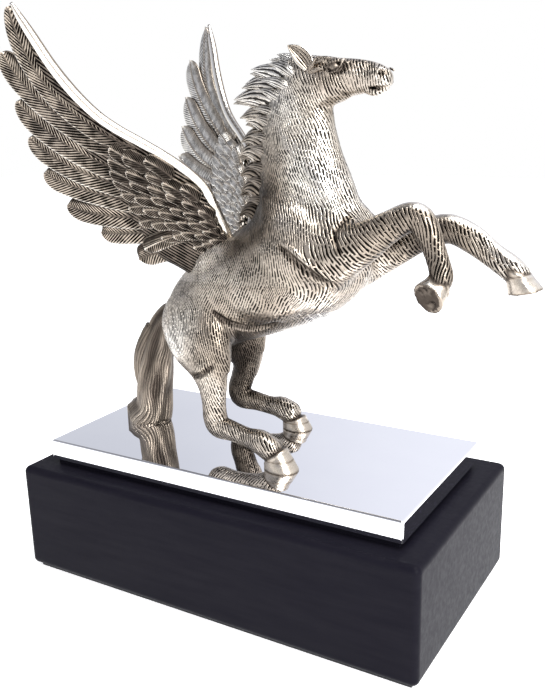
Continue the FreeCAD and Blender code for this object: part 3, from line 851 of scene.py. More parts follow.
def mirror_material():
    """Mirror plate with a slight haze."""
    material, tree, shader = new_material("mirror_sheet")
    haze = tree.noise(tree.place(), 60.0, 5.0)
    tree.fill(shader.inputs["Roughness"], tree.ramp(haze, [(0.35, 0.010), (0.75, 0.035)]))
    colour = tree.ramp(haze, [(0.3, (0.93, 0.93, 0.95)), (0.7, (0.95, 0.95, 0.965))])
    tree.fill(shader.inputs["Base Color"], colour)
    shader.inputs["Metallic"].default_value = 1.0
    return material


def lacquer_material():
    """Satin black lacquer over wood: a faint grain under it and a fine orange peel on it."""
    material, tree, shader = new_material("black_lacquer")
    place = tree.place()
    stretch = tree.nodes.new("ShaderNodeMapping")
    stretch.inputs["Scale"].default_value = (18.0, 160.0, 160.0)
    tree.fill(stretch.inputs["Vector"], place)
    grain = tree.noise(stretch.outputs["Vector"], 3.0, 5.0)
    colour = tree.ramp(grain, [(0.3, (0.005, 0.0046, 0.008)), (0.7, (0.0075, 0.007, 0.0105))])
    tree.fill(shader.inputs["Base Color"], colour)
    peel = tree.noise(place, 700.0, 2.0)
    tree.fill(shader.inputs["Roughness"], tree.ramp(peel, [(0.3, 0.36), (0.7, 0.46)]))
    shader.inputs["Specular IOR Level"].default_value = 0.035
    tree.bump(shader, peel, 0.03, 0.0001)
    return material


def plain_material(name, low, high, scale, roughness, metallic=0.0):
    """A mottled material for the hidden pieces: board, felt and steel."""
    material, tree, shader = new_material(name)
    speckle = tree.noise(tree.place(), scale, 6.0)
    tree.fill(shader.inputs["Base Color"], tree.ramp(speckle, [(0.3, low), (0.7, high)]))
    shader.inputs["Roughness"].default_value = roughness
    shader.inputs["Metallic"].default_value = metallic
    tree.bump(shader, speckle, 0.4, 0.0002)
    return material


HAIR_SILVER = silver_material("chased_silver", broken=True, width=0.66, depth=0.025)
STRAND_SILVER = silver_material("stranded_silver", broken=False, width=0.55, depth=0.06)
TAIL_SILVER = silver_material("tail_silver", broken=False, width=0.36, depth=0.50)
FEATHER_SILVER = silver_material("feathered_silver", broken=False, width=0.80, depth=0.02)


# ---- the horse's pieces ------------------------------------------------------------------------------
def hoof_shade(points, distance):
    """Darker lines on the hooves under the coronets and round the soles, and the raised hoof's dark sole.
    """
    shade = np.zeros(len(points))
    for coronet, _, sole, normal, size in HOOVES.values():
        rise = (points - sole) @ -unit(normal)
        height = rise / ((np.array(coronet) - sole) @ -unit(normal))
        here = (np.linalg.norm(points - sole, axis=1) < size * 2) & (distance < 0.2)
        lines = 0.5 * near_line(height - 0.78, 0.04) + 0.4 * near_line(height - 0.04, 0.05)
        shade[here] = lines[here]
    _, _, sole, normal, _ = HOOVES["right_foreleg"]
    from_sole = points - np.array(sole)
    under = np.abs(from_sole @ unit(normal)) < 1.6
    shade[under & (np.linalg.norm(from_sole, axis=1) < 4.0)] = 0.80
    return shade


def hollow_shade(horse, points, normals):
    """Painted shade, with tarnish in the hollows, where other skin closes in on a point from outside."""
    open_air = np.minimum(*(horse.sample(points + normals * reach) / reach for reach in (2.4, 4.4)))
    return 0.9 * np.clip(0.92 - open_air, 0, 1)


def line_shade(points, distance, folds):
    """A dark line round the polished places, and painted shade with tarnish in the folds and round the
    eyes.
    """
    shade = 0.8 * near_line(distance - 0.3, 0.35)
    for rows in folds:
        shade += 0.6 * near_line(line_distance(points, rows), 0.7)
    for centre, _ in both_sides(EYE):
        stretched = (points - centre) * (0.62, 1.0, 1.0)
        shade += 0.3 * near_line(np.linalg.norm(stretched, axis=1) - 1.9, 0.35)
    return shade


def cut_mask(points, normals, distance, coarse):
    """Where the hair is cut: not on polished places, lightly where it is fine and under the belly."""
    mask = np.clip((distance - 0.2) / 0.5, 0, 1) * np.clip(coarse * 0.8 + 0.24, 0, 1)
    # Fainter cuts on the downward faces under the belly keep them light: a painted reflection of the bright
    # plate.
    belly = (points[:, 2] > 84) & (points[:, 0] < 46)
    return mask * (1 - 0.35 * belly * np.clip(-2.5 * normals[:, 2] - 0.6, 0, 1))


def engraved_lanes(points, quads, normals, coarse):
    """Row, run, the lanes for each of row's, and the points on the seam between the two sides."""
    along = hair_directions(points, normals)
    across = np.cross(normals, along) / (STROKE_PITCH * coarse)[:, None]
    side = (normals[:, 1] > 0).astype(np.int64)
    corner_pairs = np.concatenate([quads[:, [i, (i + 1) % 4]] for i in range(4)])
    edges = unique_edges(corner_pairs, len(points))
    across_seam = side[edges[:, 0]] != side[edges[:, 1]]
    seam = np.unique(edges[across_seam])
    edges = edges[~across_seam]
    row = lane_numbers(points, edges, side, across)
    run = lane_numbers(points, edges, side, along / (STROKE_LENGTH * coarse)[:, None])
    rng = np.random.default_rng(SEED)
    row += 0.30 * wobble(points, rng, 7.0)
    run += 0.45 * wobble(points, rng, 9.0)
    return row, run, lanes_wanted(points, edges, row, np.linalg.norm(across, axis=1)), seam


def horse_part():
    """The whole skin with its tarnish and painted shade, and its engraving, which is cut into it."""
    horse, polished, folds = sculpt_horse()
    points, quads = horse.surface()
    normals = vertex_normals(points, quads)
    distance = polished.sample(points)
    places = np.array([place for place, *_ in TARNISH_SHADE_AND_CUT] + [mirror_y(place) for place, *_ in TARNISH_SHADE_AND_CUT], float)
    darkness_and_cut = np.array([values for _, *values in TARNISH_SHADE_AND_CUT] * 2)
    tarnish_and_shade, coarse = blended(points, places, darkness_and_cut, TARNISH_SHADE_REACH).T
    row, run, lanes, seam = engraved_lanes(points, quads, normals, coarse)
    mask = cut_mask(points, normals, distance, coarse)
    mask[seam] = 0
    # Tarnish and painted shade from the table, and painted shade in the hollows, folds and round the eyes.
    shade = tarnish_and_shade * np.clip(distance, 0, 1) + hollow_shade(horse, points, normals)
    shade += line_shade(points, distance, folds) + hoof_shade(points, distance)
    # Painted highlight: upward faces of the raised forelegs are lightened and left uncut, where light
    # falls.
    raised_foreleg = np.clip((points[:, 0] - 44.0) / 8.0, 0, 1)
    painted_lit_top = np.clip((normals[:, 2] - 0.45) / 0.3, 0, 1) * raised_foreleg
    mask *= 1 - painted_lit_top
    shade *= 1 - 0.7 * painted_lit_top
    cut = STROKE_DEPTH * stroke_depth(relaid(row, lanes), run) * mask
    points = points - normals * cut[:, None]
    points[:, 2] = np.maximum(points[:, 2], PLATE_TOP)
    part = part_of((points, np.zeros((0, 3), int), quads), row, run, mask, np.clip(shade, 0, 1))
    part.rows[1] = relaid(part.rows[1], lanes[quads[:, :1]])
    return part


def leg_numbers(centres):
    """0 for quads of the body casting and 1 to 4 for those of the legs, ahead of the joints."""
    label = np.zeros(len(centres), int)
    for number, (name, (point, direction)) in enumerate(JOINTS.items(), start=1):
        ahead = np.flatnonzero((centres - point) @ unit(direction) > 0)
        near = np.zeros(len(ahead), bool)
        for place in np.vstack([smooth_rows(LEGS[name], 2.0)[:, :3], HOOVES[name][2]]):
            near |= np.linalg.norm(centres[ahead] - place, axis=1) < 8.5
        label[ahead[near]] = number
    return label


def horse_pieces():
    """The body casting and the four legs, cut apart at their joints and closed there."""
    whole = horse_part()
    quads, rows = whole.faces[1], whole.rows[1]
    normals = vertex_normals(whole.points, quads)
    label = leg_numbers(whole.points[quads].mean(1))
    for number, name in enumerate(["body_casting", *JOINTS]):
        mine = label == number
        used, inverse = np.unique(quads[mine], return_inverse=True)
        faces = inverse.reshape(-1, 4)
        own = whole.points[used]
        caps, middles = [], []
        for loop in boundary_loops(faces):
            caps += [(a, b, len(own) + len(middles)) for a, b in zip(loop, loop[1:] + loop[:1])]
            middles.append(own[loop].mean(0))
        points = np.vstack([own, np.reshape(middles, (-1, 3))])
        part = part_of((points, np.array(caps, int).reshape(-1, 3), faces),
                       0.0, whole.run[used], whole.mask[used], whole.shade[used])
        part.rows[1] = rows[mine]
        own_normals = np.vstack([normals[used], np.tile([0.0, 0.0, 1.0], (len(middles), 1))])
        piece = make_mesh("silver_" + name, part, own_normals)
        place_piece(piece, HAIR_SILVER, "silver_casting", name)


# ---- wings -----------------------------------------------------------------------------------------
# The wing is laid out in side view, in (x, z); the surface below gives how far out each point stands.
def wing_out(x, z):
    """How far out from the mid-plane the left wing stands: a gently curved slope."""
    a, b = (x + 30) / 30, (z - 150) / 40
    return 30.5 - 11 * a + 16 * b - 2 * a * a + 3 * a * b - 1.7 * b * b


def wing_points(side_view):
    """Points of the side view carried on to the left wing's surface."""
    x, z = side_view[..., 0], side_view[..., 1]
    return np.stack([x, wing_out(x, z), z], -1)


def wing_normals(side_view):
    """Outward normals of the left wing's surface."""
    x, z = side_view[..., 0], side_view[..., 1]
    h = 0.5
    slope_x = (wing_out(x + h, z) - wing_out(x - h, z)) / (2 * h)
    slope_z = (wing_out(x, z + h) - wing_out(x, z - h)) / (2 * h)
    return unit(np.stack([-slope_x, np.ones_like(x), -slope_z], -1))


# The leading edge from the tip down, with its half-width, and the line on which the web ends behind.
RIM = [
    (-48.7, 191.2, 0.5), (-47.3, 187.6, 1.2), (-45.0, 182.3, 1.6), (-41.4, 173.7, 1.75),
    (-37.0, 165.8, 1.75), (-32.2, 159.4, 1.65), (-27.4, 155.1, 1.6), (-22.3, 151.5, 1.55),
    (-16.7, 147.2, 1.55), (-11.5, 142.2, 1.55), (-8.3, 136.7, 1.55), (-7.2, 129.6, 1.55),
    (-6.3, 121.5, 1.4), (-6.4, 112.0, 1.1),
]
RIM_THICKNESS = 0.80
WEB_TRAIL = [
    (-46.4, 178.0), (-44.5, 168.0), (-42.5, 158.0), (-40.0, 147.0), (-37.0, 137.0), (-34.0, 128.0),
    (-31.0, 120.0), (-28.6, 113.8), (-24.6, 110.6), (-20.6, 106.6), (-18.5, 101.0),
]
# Long feathers, outermost first: root, a point the quill passes half-way, tip, half-width.
PRIMARIES = [
    ((-24.0, 150.0), (-43.4, 166.2), (-49.6, 190.4), 3.9),
    ((-27.0, 147.0), (-47.2, 163.2), (-56.1, 178.5), 4.4),
    ((-26.0, 141.0), (-44.8, 151.6), (-56.1, 164.6), 4.7),
    ((-25.0, 136.5), (-44.4, 143.8), (-55.9, 153.8), 4.5),
    ((-23.0, 132.0), (-43.4, 137.0), (-55.1, 142.8), 4.4),
    ((-21.0, 128.0), (-40.0, 128.8), (-51.2, 132.4), 4.3),
    ((-18.0, 124.0), (-34.5, 122.7), (-43.5, 123.2), 4.0),
    ((-14.0, 118.8), (-26.6, 116.2), (-35.0, 113.6), 3.7),
]
OVERLAY = ((-17.0, 123.6), (-25.0, 120.8), (-31.6, 117.8), 2.8)
# Rows of coverts, outermost first: tips at the rim, half-way and at the rump, count, length, half-width
# and height over the wing.
COVERT_ROWS = [
    ((-31.6, 151.6), (-33.6, 139.0), (-29.0, 122.5), 7, 9.5, 3.0, 0.9),
    ((-26.8, 150.4), (-28.8, 136.5), (-24.6, 120.0), 7, 8.6, 2.8, 1.3),
    ((-22.0, 147.6), (-24.0, 134.0), (-20.4, 118.5), 7, 7.8, 2.6, 1.7),
    ((-17.6, 143.6), (-19.6, 131.0), (-16.6, 117.5), 6, 7.0, 2.5, 2.0),
    ((-13.6, 139.0), (-15.6, 128.0), (-13.0, 117.0), 6, 6.0, 2.2, 2.3),
    ((-10.6, 133.4), (-12.0, 125.4), (-10.0, 116.6), 5, 5.0, 2.0, 2.5),
]
COVERT_LEANS = (138.0, 160.0, 186.0)
# Kinds of feather: thickness, barb spacing, barb depth, mesh step, and darkness of the vanes and of the
# quill, tarnish and painted shade together.
LONG_FEATHER = (1.3, 1.25, 0.20, 0.40, 0.62, 1.0)
OVERLAID_FEATHER = (0.9, 0.95, 0.16, 0.38, 0.62, 0.4)
COVERT_FEATHER = (0.9, 0.85, 0.14, 0.36, 0.90, 0.70)


def bent(start, control, end, t):
    """Points at t, a column from 0 to 1, on the curve that is drawn towards control."""
    return (1 - t) ** 2 * start + 2 * t * (1 - t) * control + t ** 2 * end


def curve_through(start, middle, end, t):
    """Points at t, a column from 0 to 1, on the curve that passes the middle half-way."""
    start, middle, end = (np.array(place, float) for place in (start, middle, end))
    return bent(start, 2 * middle - 0.5 * (start + end), end, t)


def quill_line(root, middle, tip, count):
    """Shares, points and directions in side view along the curve that passes the middle half-way."""
    t = np.linspace(0, 1, count)[:, None]
    line = curve_through(root, middle, tip, t)
    return t[:, 0], line, unit(np.gradient(line, axis=0))


def feather_shade(shade, vein, side, t, b, outer, quill_ridge, from_edge):
    """Darkness painted on a feather: tarnish and painted shade on its vanes and quill, painted shade at
    its root and where the feather beside it covers it, and painted highlights along its edges. t runs
    from root to tip and b from the upper edge to the lower one."""
    dim = np.where(outer, 1.0, 0.6)
    # Painted highlight along the lower edge, and the inner face painted far lighter than the outer as
    # light.
    lit = np.clip(5 * b - 3.9, 0, 1)
    vanes = shade * np.where(outer, 1.0, 0.04) * (1 - 0.95 * lit) * (1 - quill_ridge)
    # Painted shade at the root and under the next feather, and painted highlights round the edges.
    root = np.where(outer, 1.2, 0.6) * np.clip((0.68 if side else 0.35) - t, 0, 1)
    under_next = 0.8 * dim * np.clip(-2.2 * b - 0.9, 0, 1)
    painted_edge_highlight = 0.8 * near_line(from_edge, 0.45) * (1.0 if side else 0.5)
    return (vanes + vein * dim * quill_ridge + root + under_next) * (1 - painted_edge_highlight)


def feather(quill, half_width, lift, tilt, kind, side=0):
    """One feather blade lying on the left wing.

    lift is its height over the wing's surface and tilt what its lower vane rises. side is 1 or -1 for a
    feather seen on the wing's outer or inner face only, and 0 for one seen from both. The inner face
    has shallower, fainter cuts and is painted much lighter than the outer, partly less tarnish and
    partly painted light on the inner face and painted shade on the outer."""
    thickness, pitch, relief, step, shade, vein = kind
    root, middle, tip = (np.array(place, float) for place in quill)
    length = np.linalg.norm(middle - root) + np.linalg.norm(tip - middle)
    t, line, ahead = quill_line(root, middle, tip, max(14, int(length / step)))
    lower = np.stack([ahead[:, 1], -ahead[:, 0]], -1)
    lower *= np.sign(-lower[:, 1:2] - lower[:, 0:1] * 0.6)
    end = np.clip((1 - t) / 0.24, 0, 1)
    outline = np.maximum(np.sqrt(1 - (1 - end) ** 2) * np.clip(0.3 + t * 4, 0, 1), 0.02)[:, None]
    front = np.linspace(-1, 1, 2 * int(half_width / step) + 3)
    back = np.linspace(1, -1, 5 if side else len(front))
    b = np.concatenate([front, back[1:-1]])
    out = np.repeat([1.0, -1.0], [len(front), len(back) - 2]) * (side or 1)
    outer = out > 0

    sideways = outline * half_width * b
    barb = ((t * length)[:, None] - np.abs(sideways) * 1.35) / pitch
    quill_ridge = near_line(sideways, 0.34)
    edge = np.abs(b) ** 5 * np.ones_like(sideways)
    cutting = np.clip(1.25 - quill_ridge * 1.6 - edge * 1.4, 0, 1) * np.clip(outline * 1.5, 0, 1)
    cut = cutting * (0.5 + 0.5 * np.cos(2 * math.pi * (barb - 0.5))) * relief * np.where(outer, 1.0, 0.4)
    body = thickness * 0.5 * (0.35 + 0.65 * (1 - np.abs(b) ** 4))
    height = np.where(np.abs(b) > 0.999, 0, body + quill_ridge * 0.28 + edge * 0.16 - cut)
    plane = line[:, None, :] + lower[:, None, :] * sideways[..., None]
    level = lift + tilt * b + out * height
    rings = wing_points(plane) + wing_normals(plane) * level[..., None]

    from_edge = np.minimum(outline * half_width * (1 - np.abs(b)), (1 - t)[:, None] * length)
    darkness = feather_shade(shade, vein, side, t[:, None], b, outer, quill_ridge, from_edge)
    cutting = cutting * np.where(outer, 1.0, 0.5)
    turn = slice(None, None, -1) if side < 0 else slice(None)
    return part_of(closed_stack(rings[:, turn]), barb[:, turn], 0.5, cutting[:, turn], darkness[:, turn])


def wing_rim():
    """The rounded bright leading edge, a line chased along it, and painted shade on its turned-away flanks.
    """
    rows = smooth_rows([(x, 0, z, w, w) for x, z, w in RIM], 0.7)
    line = rows[:, [0, 2]]
    ahead = unit(np.gradient(line, axis=0))
    across = np.stack([-ahead[:, 1], ahead[:, 0]], -1)
    angle = np.linspace(0, 2 * math.pi, 44, endpoint=False)
    plane = line[:, None] + across[:, None] * (rows[:, 3:4] * np.cos(angle))[..., None]
    lift = rows[:, 3:4] * RIM_THICKNESS * np.sin(angle)
    rings = wing_points(plane) + wing_normals(plane) * lift[..., None]
    # A chased line, and painted shade where the tube turns away on either side.
    lines = 0.6 * near_line(np.cos(angle) - 0.45, 0.10) + 0.7 * (np.abs(np.cos(angle)) > 0.94)
    return part_of(closed_stack(rings), shade=(0.05 + lines) * np.ones_like(lift))


def wing_web():
    """The web under the feathers, which runs down to the rump, with fine lines chased along it."""
    count, across = 130, 46

    def evenly(rows):
        curve = smooth_rows(rows, 1.0)[:, [0, 2]]
        even, old = np.linspace(0, 1, count), np.linspace(0, 1, len(curve))
        return np.stack([np.interp(even, old, curve[:, k]) for k in (0, 1)], -1)

    lead = evenly([(x, 0, z) for x, z, _ in RIM[2:]])
    trail = evenly([(x, 0, z) for x, z in WEB_TRAIL])
    f = np.concatenate([np.linspace(0, 1, across + 1), np.linspace(1, 0, across + 1)[1:-1]])
    face = np.concatenate([np.ones(across + 1), -np.ones(across - 1)])
    plane = lead[:, None] * (1 - f)[None, :, None] + trail[:, None] * f[None, :, None]
    s = np.linspace(0, 1, count)[:, None]
    thick = (0.40 + 2.4 * s ** 3) * np.sqrt(np.clip(1 - np.abs(2 * f - 1) ** 6, 0, 1))
    rings = wing_points(plane) + wing_normals(plane) * (face * np.maximum(thick, 0.02))[..., None]
    row = plane[..., 0] * 0.62 + plane[..., 1] * 0.75
    # Painted shade under and between the feathers, darker on the outer face than on the inner.
    shade = np.where(face > 0, 0.90, 0.55) * np.ones_like(row)
    return part_of(closed_stack(rings), row, 0.5, 0.8 * np.ones_like(row), shade)


def covert_row(row, number, face, rng):
    """Overlapping small feathers in a row, set between those of the row beside it."""
    start, middle, end, count, length, half_width, height = row
    shares = (np.arange(count) + 0.25 + 0.5 * (number % 2)) / count
    tips = curve_through(start, middle, end, shares[:, None])
    leans = np.interp(shares, (0.0, 0.5, 1.0), COVERT_LEANS)
    parts = []
    for tip, lean in zip(tips, leans):
        lean = math.radians(lean + rng.uniform(-7, 7))
        tip = tip + rng.uniform(-0.5, 0.5, 2)
        ahead = np.array([math.cos(lean), math.sin(lean)])
        size = length * rng.uniform(0.92, 1.1)
        width = half_width * rng.uniform(0.92, 1.08)
        bend = tip - ahead * size * 0.5 + np.array([ahead[1], -ahead[0]]) * 0.5
        quill = (tip - ahead * size, bend, tip)
        parts.append(feather(quill, width, face * height, face * 0.5, COVERT_FEATHER, face))
    return parts


def wing_parts():
    """Everything on the left wing."""
    rng = np.random.default_rng(SEED + 1)
    parts = [wing_rim(), wing_web()]
    for *quill, half_width in PRIMARIES:
        parts.append(feather(quill, half_width, 0.0, 0.6, LONG_FEATHER))
    for face in (1, -1):
        parts.append(feather(OVERLAY[:3], OVERLAY[3], face * 1.5, face * 0.3, OVERLAID_FEATHER, face))
        for number, row in enumerate(COVERT_ROWS):
            parts += covert_row(row, number, face, rng)
    return joined(parts)


def wing_pieces():
    """The left wing and its mirror image."""
    left = wing_parts()
    for name, part in (("left_wing", left), ("right_wing", left.mirrored())):
        place_piece(make_mesh("silver_" + name, part), FEATHER_SILVER, "silver_casting", name)


# ---- mane, ears and forelock -------------------------------------------------------------------------
# Locks of hair: root, bend and tip as (x, z) on the mid-plane, half-width, side of the mid-plane.
LOCKS = [
    ((18.5, 168.5), (13.0, 173.8), (7.6, 174.6), 2.4, -1.0),
    ((19.0, 170.5), (14.5, 175.2), (9.8, 176.0), 2.2, 0.8),
    ((17.0, 167.5), (9.0, 171.6), (1.0, 172.0), 3.6, -1.4),
    ((15.0, 165.5), (6.0, 169.8), (-1.8, 167.8), 3.4, 0.6),
    ((13.5, 161.5), (3.5, 165.8), (-5.6, 163.2), 3.8, -1.6),
    ((11.5, 157.5), (3.5, 161.0), (-2.8, 158.8), 3.2, 0.8),
    ((10.0, 153.5), (3.5, 158.4), (-1.4, 156.6), 3.2, -1.8),
    ((8.5, 149.0), (2.0, 154.4), (-2.7, 151.4), 3.4, 0.4),
    ((8.0, 144.5), (1.0, 149.6), (-4.0, 146.4), 3.6, -1.5),
    ((7.0, 138.5), (0.8, 144.2), (-3.4, 140.8), 3.4, 0.5),
    ((6.0, 133.0), (0.2, 138.4), (-4.0, 134.6), 3.3, -1.3),
    ((5.0, 127.0), (-0.6, 132.0), (-4.2, 128.0), 3.0, 0.3),
]
# Wisps that run from the side of the neck into the mane: root and tip as (x, z), and half-width.
WISPS = [
    ((19.5, 169.0), (8.0, 173.4), 1.7), ((18.0, 165.5), (5.0, 168.6), 1.8),
    ((16.2, 161.5), (3.6, 166.0), 1.8), ((14.8, 158.0), (1.8, 160.2), 1.7),
    ((13.6, 154.0), (2.2, 157.6), 1.8), ((12.6, 150.0), (0.4, 152.0), 1.7),
    ((12.0, 145.6), (0.4, 148.4), 1.8), ((11.2, 141.0), (-0.8, 142.6), 1.7),
    ((10.4, 136.0), (-1.0, 138.6), 1.7), ((9.4, 131.0), (-1.2, 132.0), 1.6),
]
# Short tufts between the ears and over the brow, as root, bend, tip in (x, y, z) and half-width.
TUFTS = [
    ((22.0, -3.4, 171.2), (25.4, -4.4, 173.6), (28.4, -4.4, 173.4), 1.0),
    ((22.6, -4.6, 169.4), (25.6, -5.6, 171.6), (28.4, -5.0, 170.9), 0.9),
    ((21.5, -1.4, 172.0), (25.5, -1.8, 174.6), (30.0, -2.0, 173.9), 1.2),
    ((23.8, -4.9, 170.4), (24.6, -5.8, 172.6), (26.2, -5.2, 174.0), 0.8),
]
EAR_HALF_WIDTH = 2.5
# Each ear's root, middle and tip as (x, z); the left one lies further back.
EARS = {
    -1: ((23.6, 171.2), (20.6, 175.0), (16.2, 178.0)),
    1: ((20.5, 169.4), (16.5, 172.2), (12.0, 173.8)),
}


def rings_round(centres, across, through, width, depth, angle):
    """Ellipses round the centres, width along across and depth along through, one point per angle."""
    return (centres[:, None] + across[:, None] * (width * np.cos(angle))[..., None]
            + through[:, None] * (depth * np.sin(angle))[..., None])


def lock(root, bend, tip, half_width, shade, taper=0.8):
    """A sickle of hair, grooved along it, that passes near bend and ends in a point."""
    around, flutes, groove = 44, 11, 0.22
    t = np.linspace(0, 1, 30)[:, None]
    line = bent(*(np.array(place, float) for place in (root, bend, tip)), t)
    ahead = unit(np.gradient(line, axis=0))
    normal = unit(np.array([0.0, 1.0, 0.0]) - ahead * ahead[:, 1:2])
    width = half_width * np.clip(np.minimum(0.6 + t * 1.5, (1 - t) * 1.7), 0.03, 1) ** taper
    angle = np.linspace(0, 2 * math.pi, around, endpoint=False)
    row = angle * flutes / (2 * math.pi) + 0.8 * np.sin(t * 3.0)
    ripple = 1 - groove * (0.5 + 0.5 * np.cos(2 * math.pi * (row - 0.5)))
    depth = 0.35 + 0.42 * width
    rings = rings_round(line, np.cross(ahead, normal), normal, width * ripple, depth * ripple, angle)
    mask = np.clip(width * 1.4, 0, 1) * np.ones_like(row)
    # Painted shade towards the root, where the lock goes into the neck.
    darkness = (shade + 0.35 * np.clip(0.5 - t, 0, 1)) * np.ones_like(row)
    return part_of(closed_stack(rings), row, 0.5, mask, darkness, around, flutes)


def ear(side):
    """A laid-back ear: a pointed leaf with a furrowed hollow, open outwards."""
    t, line, _ = quill_line(*EARS[side], 26)
    centre = np.stack([line[:, 0], side * (4.6 - 0.4 * t), line[:, 1]], -1)
    ahead = unit(np.gradient(centre, axis=0))
    opening = np.array([0.25, side, 0.30])
    outward = unit(opening - ahead * (ahead @ opening)[:, None])
    width = EAR_HALF_WIDTH * np.clip(np.sin(math.pi * (0.16 + 0.84 * t)), 0.02, 1)[:, None] ** 0.75
    b = np.concatenate([np.linspace(-1, 1, 25), np.linspace(1, -1, 25)[1:-1]])
    face = np.repeat([1.0, -1.0], [25, 23])
    cup = 0.9 * b ** 2 - 0.3
    thick = np.where(np.abs(b) > 0.999, 0.05, 0.38)
    level = width * (0.5 * cup - (face < 0) * 0.35 * (1 - b ** 2)) + face * thick
    rings = (centre[:, None] + np.cross(outward, ahead)[:, None] * (width * b)[..., None]
             + outward[:, None] * level[..., None])
    # Painted shade in the hollow, with a bright rim.
    hollow = np.clip(1.3 - 1.6 * b ** 4, 0, 1) * (face > 0) * np.ones_like(level)
    row = b * 3.0 * np.ones_like(level)
    turn = slice(None) if side < 0 else slice(None, None, -1)
    form = closed_stack(rings[:, turn])
    return part_of(form, row[:, turn], 0.5, 0.9 * hollow[:, turn], 0.12 + 0.45 * hollow[:, turn])


def mane_piece():
    """Locks in pairs, wisps on both sides, brow tufts and ears, darker towards the withers."""
    parts = []
    for root, bend, tip, half_width, side in LOCKS:
        places = [(x, y, z) for (x, z), y in ((root, side), (bend, side * 0.8), (tip, side * 0.4))]
        # Painted shade: lower locks darker towards the withers, and each lock's tucked-under copy darker
        # still.
        shade = max(0.0, 0.017 * (170.0 - tip[1]))
        parts.append(lock(*places, half_width, shade))
        opposite = [(x - 0.4, -y - 1.0, z - 1.2) for x, y, z in places]
        parts.append(lock(*opposite, half_width * 0.9, shade + 0.1))
    for (x, z), (tip_x, tip_z), half_width in WISPS:
        # Wisps painted darker lower down in the same way.
        shade = 0.06 + max(0.0, 0.019 * (169.0 - tip_z))
        for side in (-1, 1):
            bend = (0.5 * (x + tip_x) - 0.5, side * 4.4, 0.5 * (z + tip_z) + 2.0)
            parts.append(lock((x, side * 4.6, z), bend, (tip_x, side * 1.6, tip_z), half_width, shade))
    for *places, half_width in TUFTS:
        parts.append(lock(*places, half_width, 0.5))
        parts.append(lock(*map(mirror_y, places), half_width, 0.5))
    parts += [ear(side) for side in (-1, 1)]
    place_piece(make_mesh("silver_mane", joined(parts)), STRAND_SILVER, "silver_casting")


# ---- tail ------------------------------------------------------------------------------------------
# Rows like the horse's, from the root to the foot on the plate.
TAIL = [
    (-32.0, 0, 92.0, 2.8, 3.0), (-37.0, 0, 90.6, 3.6, 3.8), (-40.4, 0, 85.2, 4.5, 4.7),
    (-42.3, 0, 77.6, 5.3, 5.4), (-44.2, 0, 69.0, 6.0, 6.2), (-45.8, 0, 61.0, 6.2, 6.4),
    (-46.6, 0, 54.5, 6.3, 7.0), (-48.8, 0, 50.6, 7.4, 9.0), (-49.6, 0, 49.3, 7.8, 9.7),
]


def tail_switch():
    """A thick switch of fine strands that flares on to the plate."""
    rows = smooth_rows(TAIL, 0.5)
    _, sideways, through = frames_along(rows[:, :3])
    around, flutes = 160, 40
    angle = np.linspace(0, 2 * math.pi, around, endpoint=False)
    t = np.linspace(0, 1, len(rows))[:, None]
    row = (angle + 0.10 * np.sin(t * 9) + 0.06 * np.sin(t * 21 + angle * 3)) * flutes / (2 * math.pi)
    lumps = 0.06 * np.sin(angle * 3 + t * 5) + 0.045 * np.sin(angle * 7 - t * 9)
    grooves = 0.022 * (0.5 + 0.5 * np.cos(2 * math.pi * (row - 0.5)))
    swell = 1 + lumps * np.clip(t * 5, 0, 1) - grooves
    rings = rings_round(rows[:, :3], sideways, through, rows[:, 3:4] * swell, rows[:, 4:5] * swell, angle)
    rings[..., 2] = np.maximum(rings[..., 2], PLATE_TOP + 0.5)
    foot = rings[-1] * [1, 1, 0] + [0, 0, PLATE_TOP]
    rings = np.concatenate([rings, [foot + [0, 0, 0.2], foot]])
    row, lumps = (np.vstack([values, values[-1:], values[-1:]]) for values in (row, lumps))
    mask = np.clip((1.02 - np.linspace(0, 1, len(rings))[:, None]) * 14, 0, 1) * np.ones_like(row)
    # Lighter towards the foot, with painted highlights on the swells and painted shade between them.
    shade = 0.90 - 0.22 * np.clip(np.linspace(-2.2, 1, len(rings)), 0, 1)[:, None] - 2.0 * lumps
    return part_of(closed_stack(rings), row, 0.5, mask, shade, around, flutes)


def tail_piece():
    """The switch with one lock behind it and one inside."""
    behind = lock((-43.5, -2.4, 86.0), (-52.4, -3.4, 72.0), (-49.6, -3.0, 61.2), 2.8, 0.8, 0.45)
    inside = lock((-41.0, 3.5, 84.0), (-48.6, 5.0, 72.0), (-46.0, 5.2, 58.0), 2.6, 0.8, 0.45)
    piece = make_mesh("silver_tail", joined([tail_switch(), behind, inside]))
    place_piece(piece, TAIL_SILVER, "silver_casting", "tail")


# ---- carried-over nodes, stage, light and camera -----------------------------------------------------
CAMERA_TARGET = Vector((0.005725, 0.0, 0.082667))
CAMERA_DISTANCE = 0.28745


def finish_cad_nodes():
    """Materials for the CAD objects that stay in sight; the small hardware is all steel."""
    steel = plain_material("zinc_steel", (0.50, 0.50, 0.52), (0.62, 0.62, 0.63), 400, 0.32, 1.0)
    finishes = {
        "base_block": lacquer_material(),
        "display_plate": mirror_material(),
        "base_felt": plain_material("black_felt", (0.010, 0.010, 0.011), (0.035, 0.035, 0.038), 2500, 0.95),
        "plate_packer": plain_material("packer_board", (0.36, 0.26, 0.16), (0.50, 0.38, 0.25), 500, 0.8),
    }
    for name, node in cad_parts.items():
        if not node.hide_render:
            node.data.materials.clear()
            node.data.materials.append(finishes.get(name, steel))


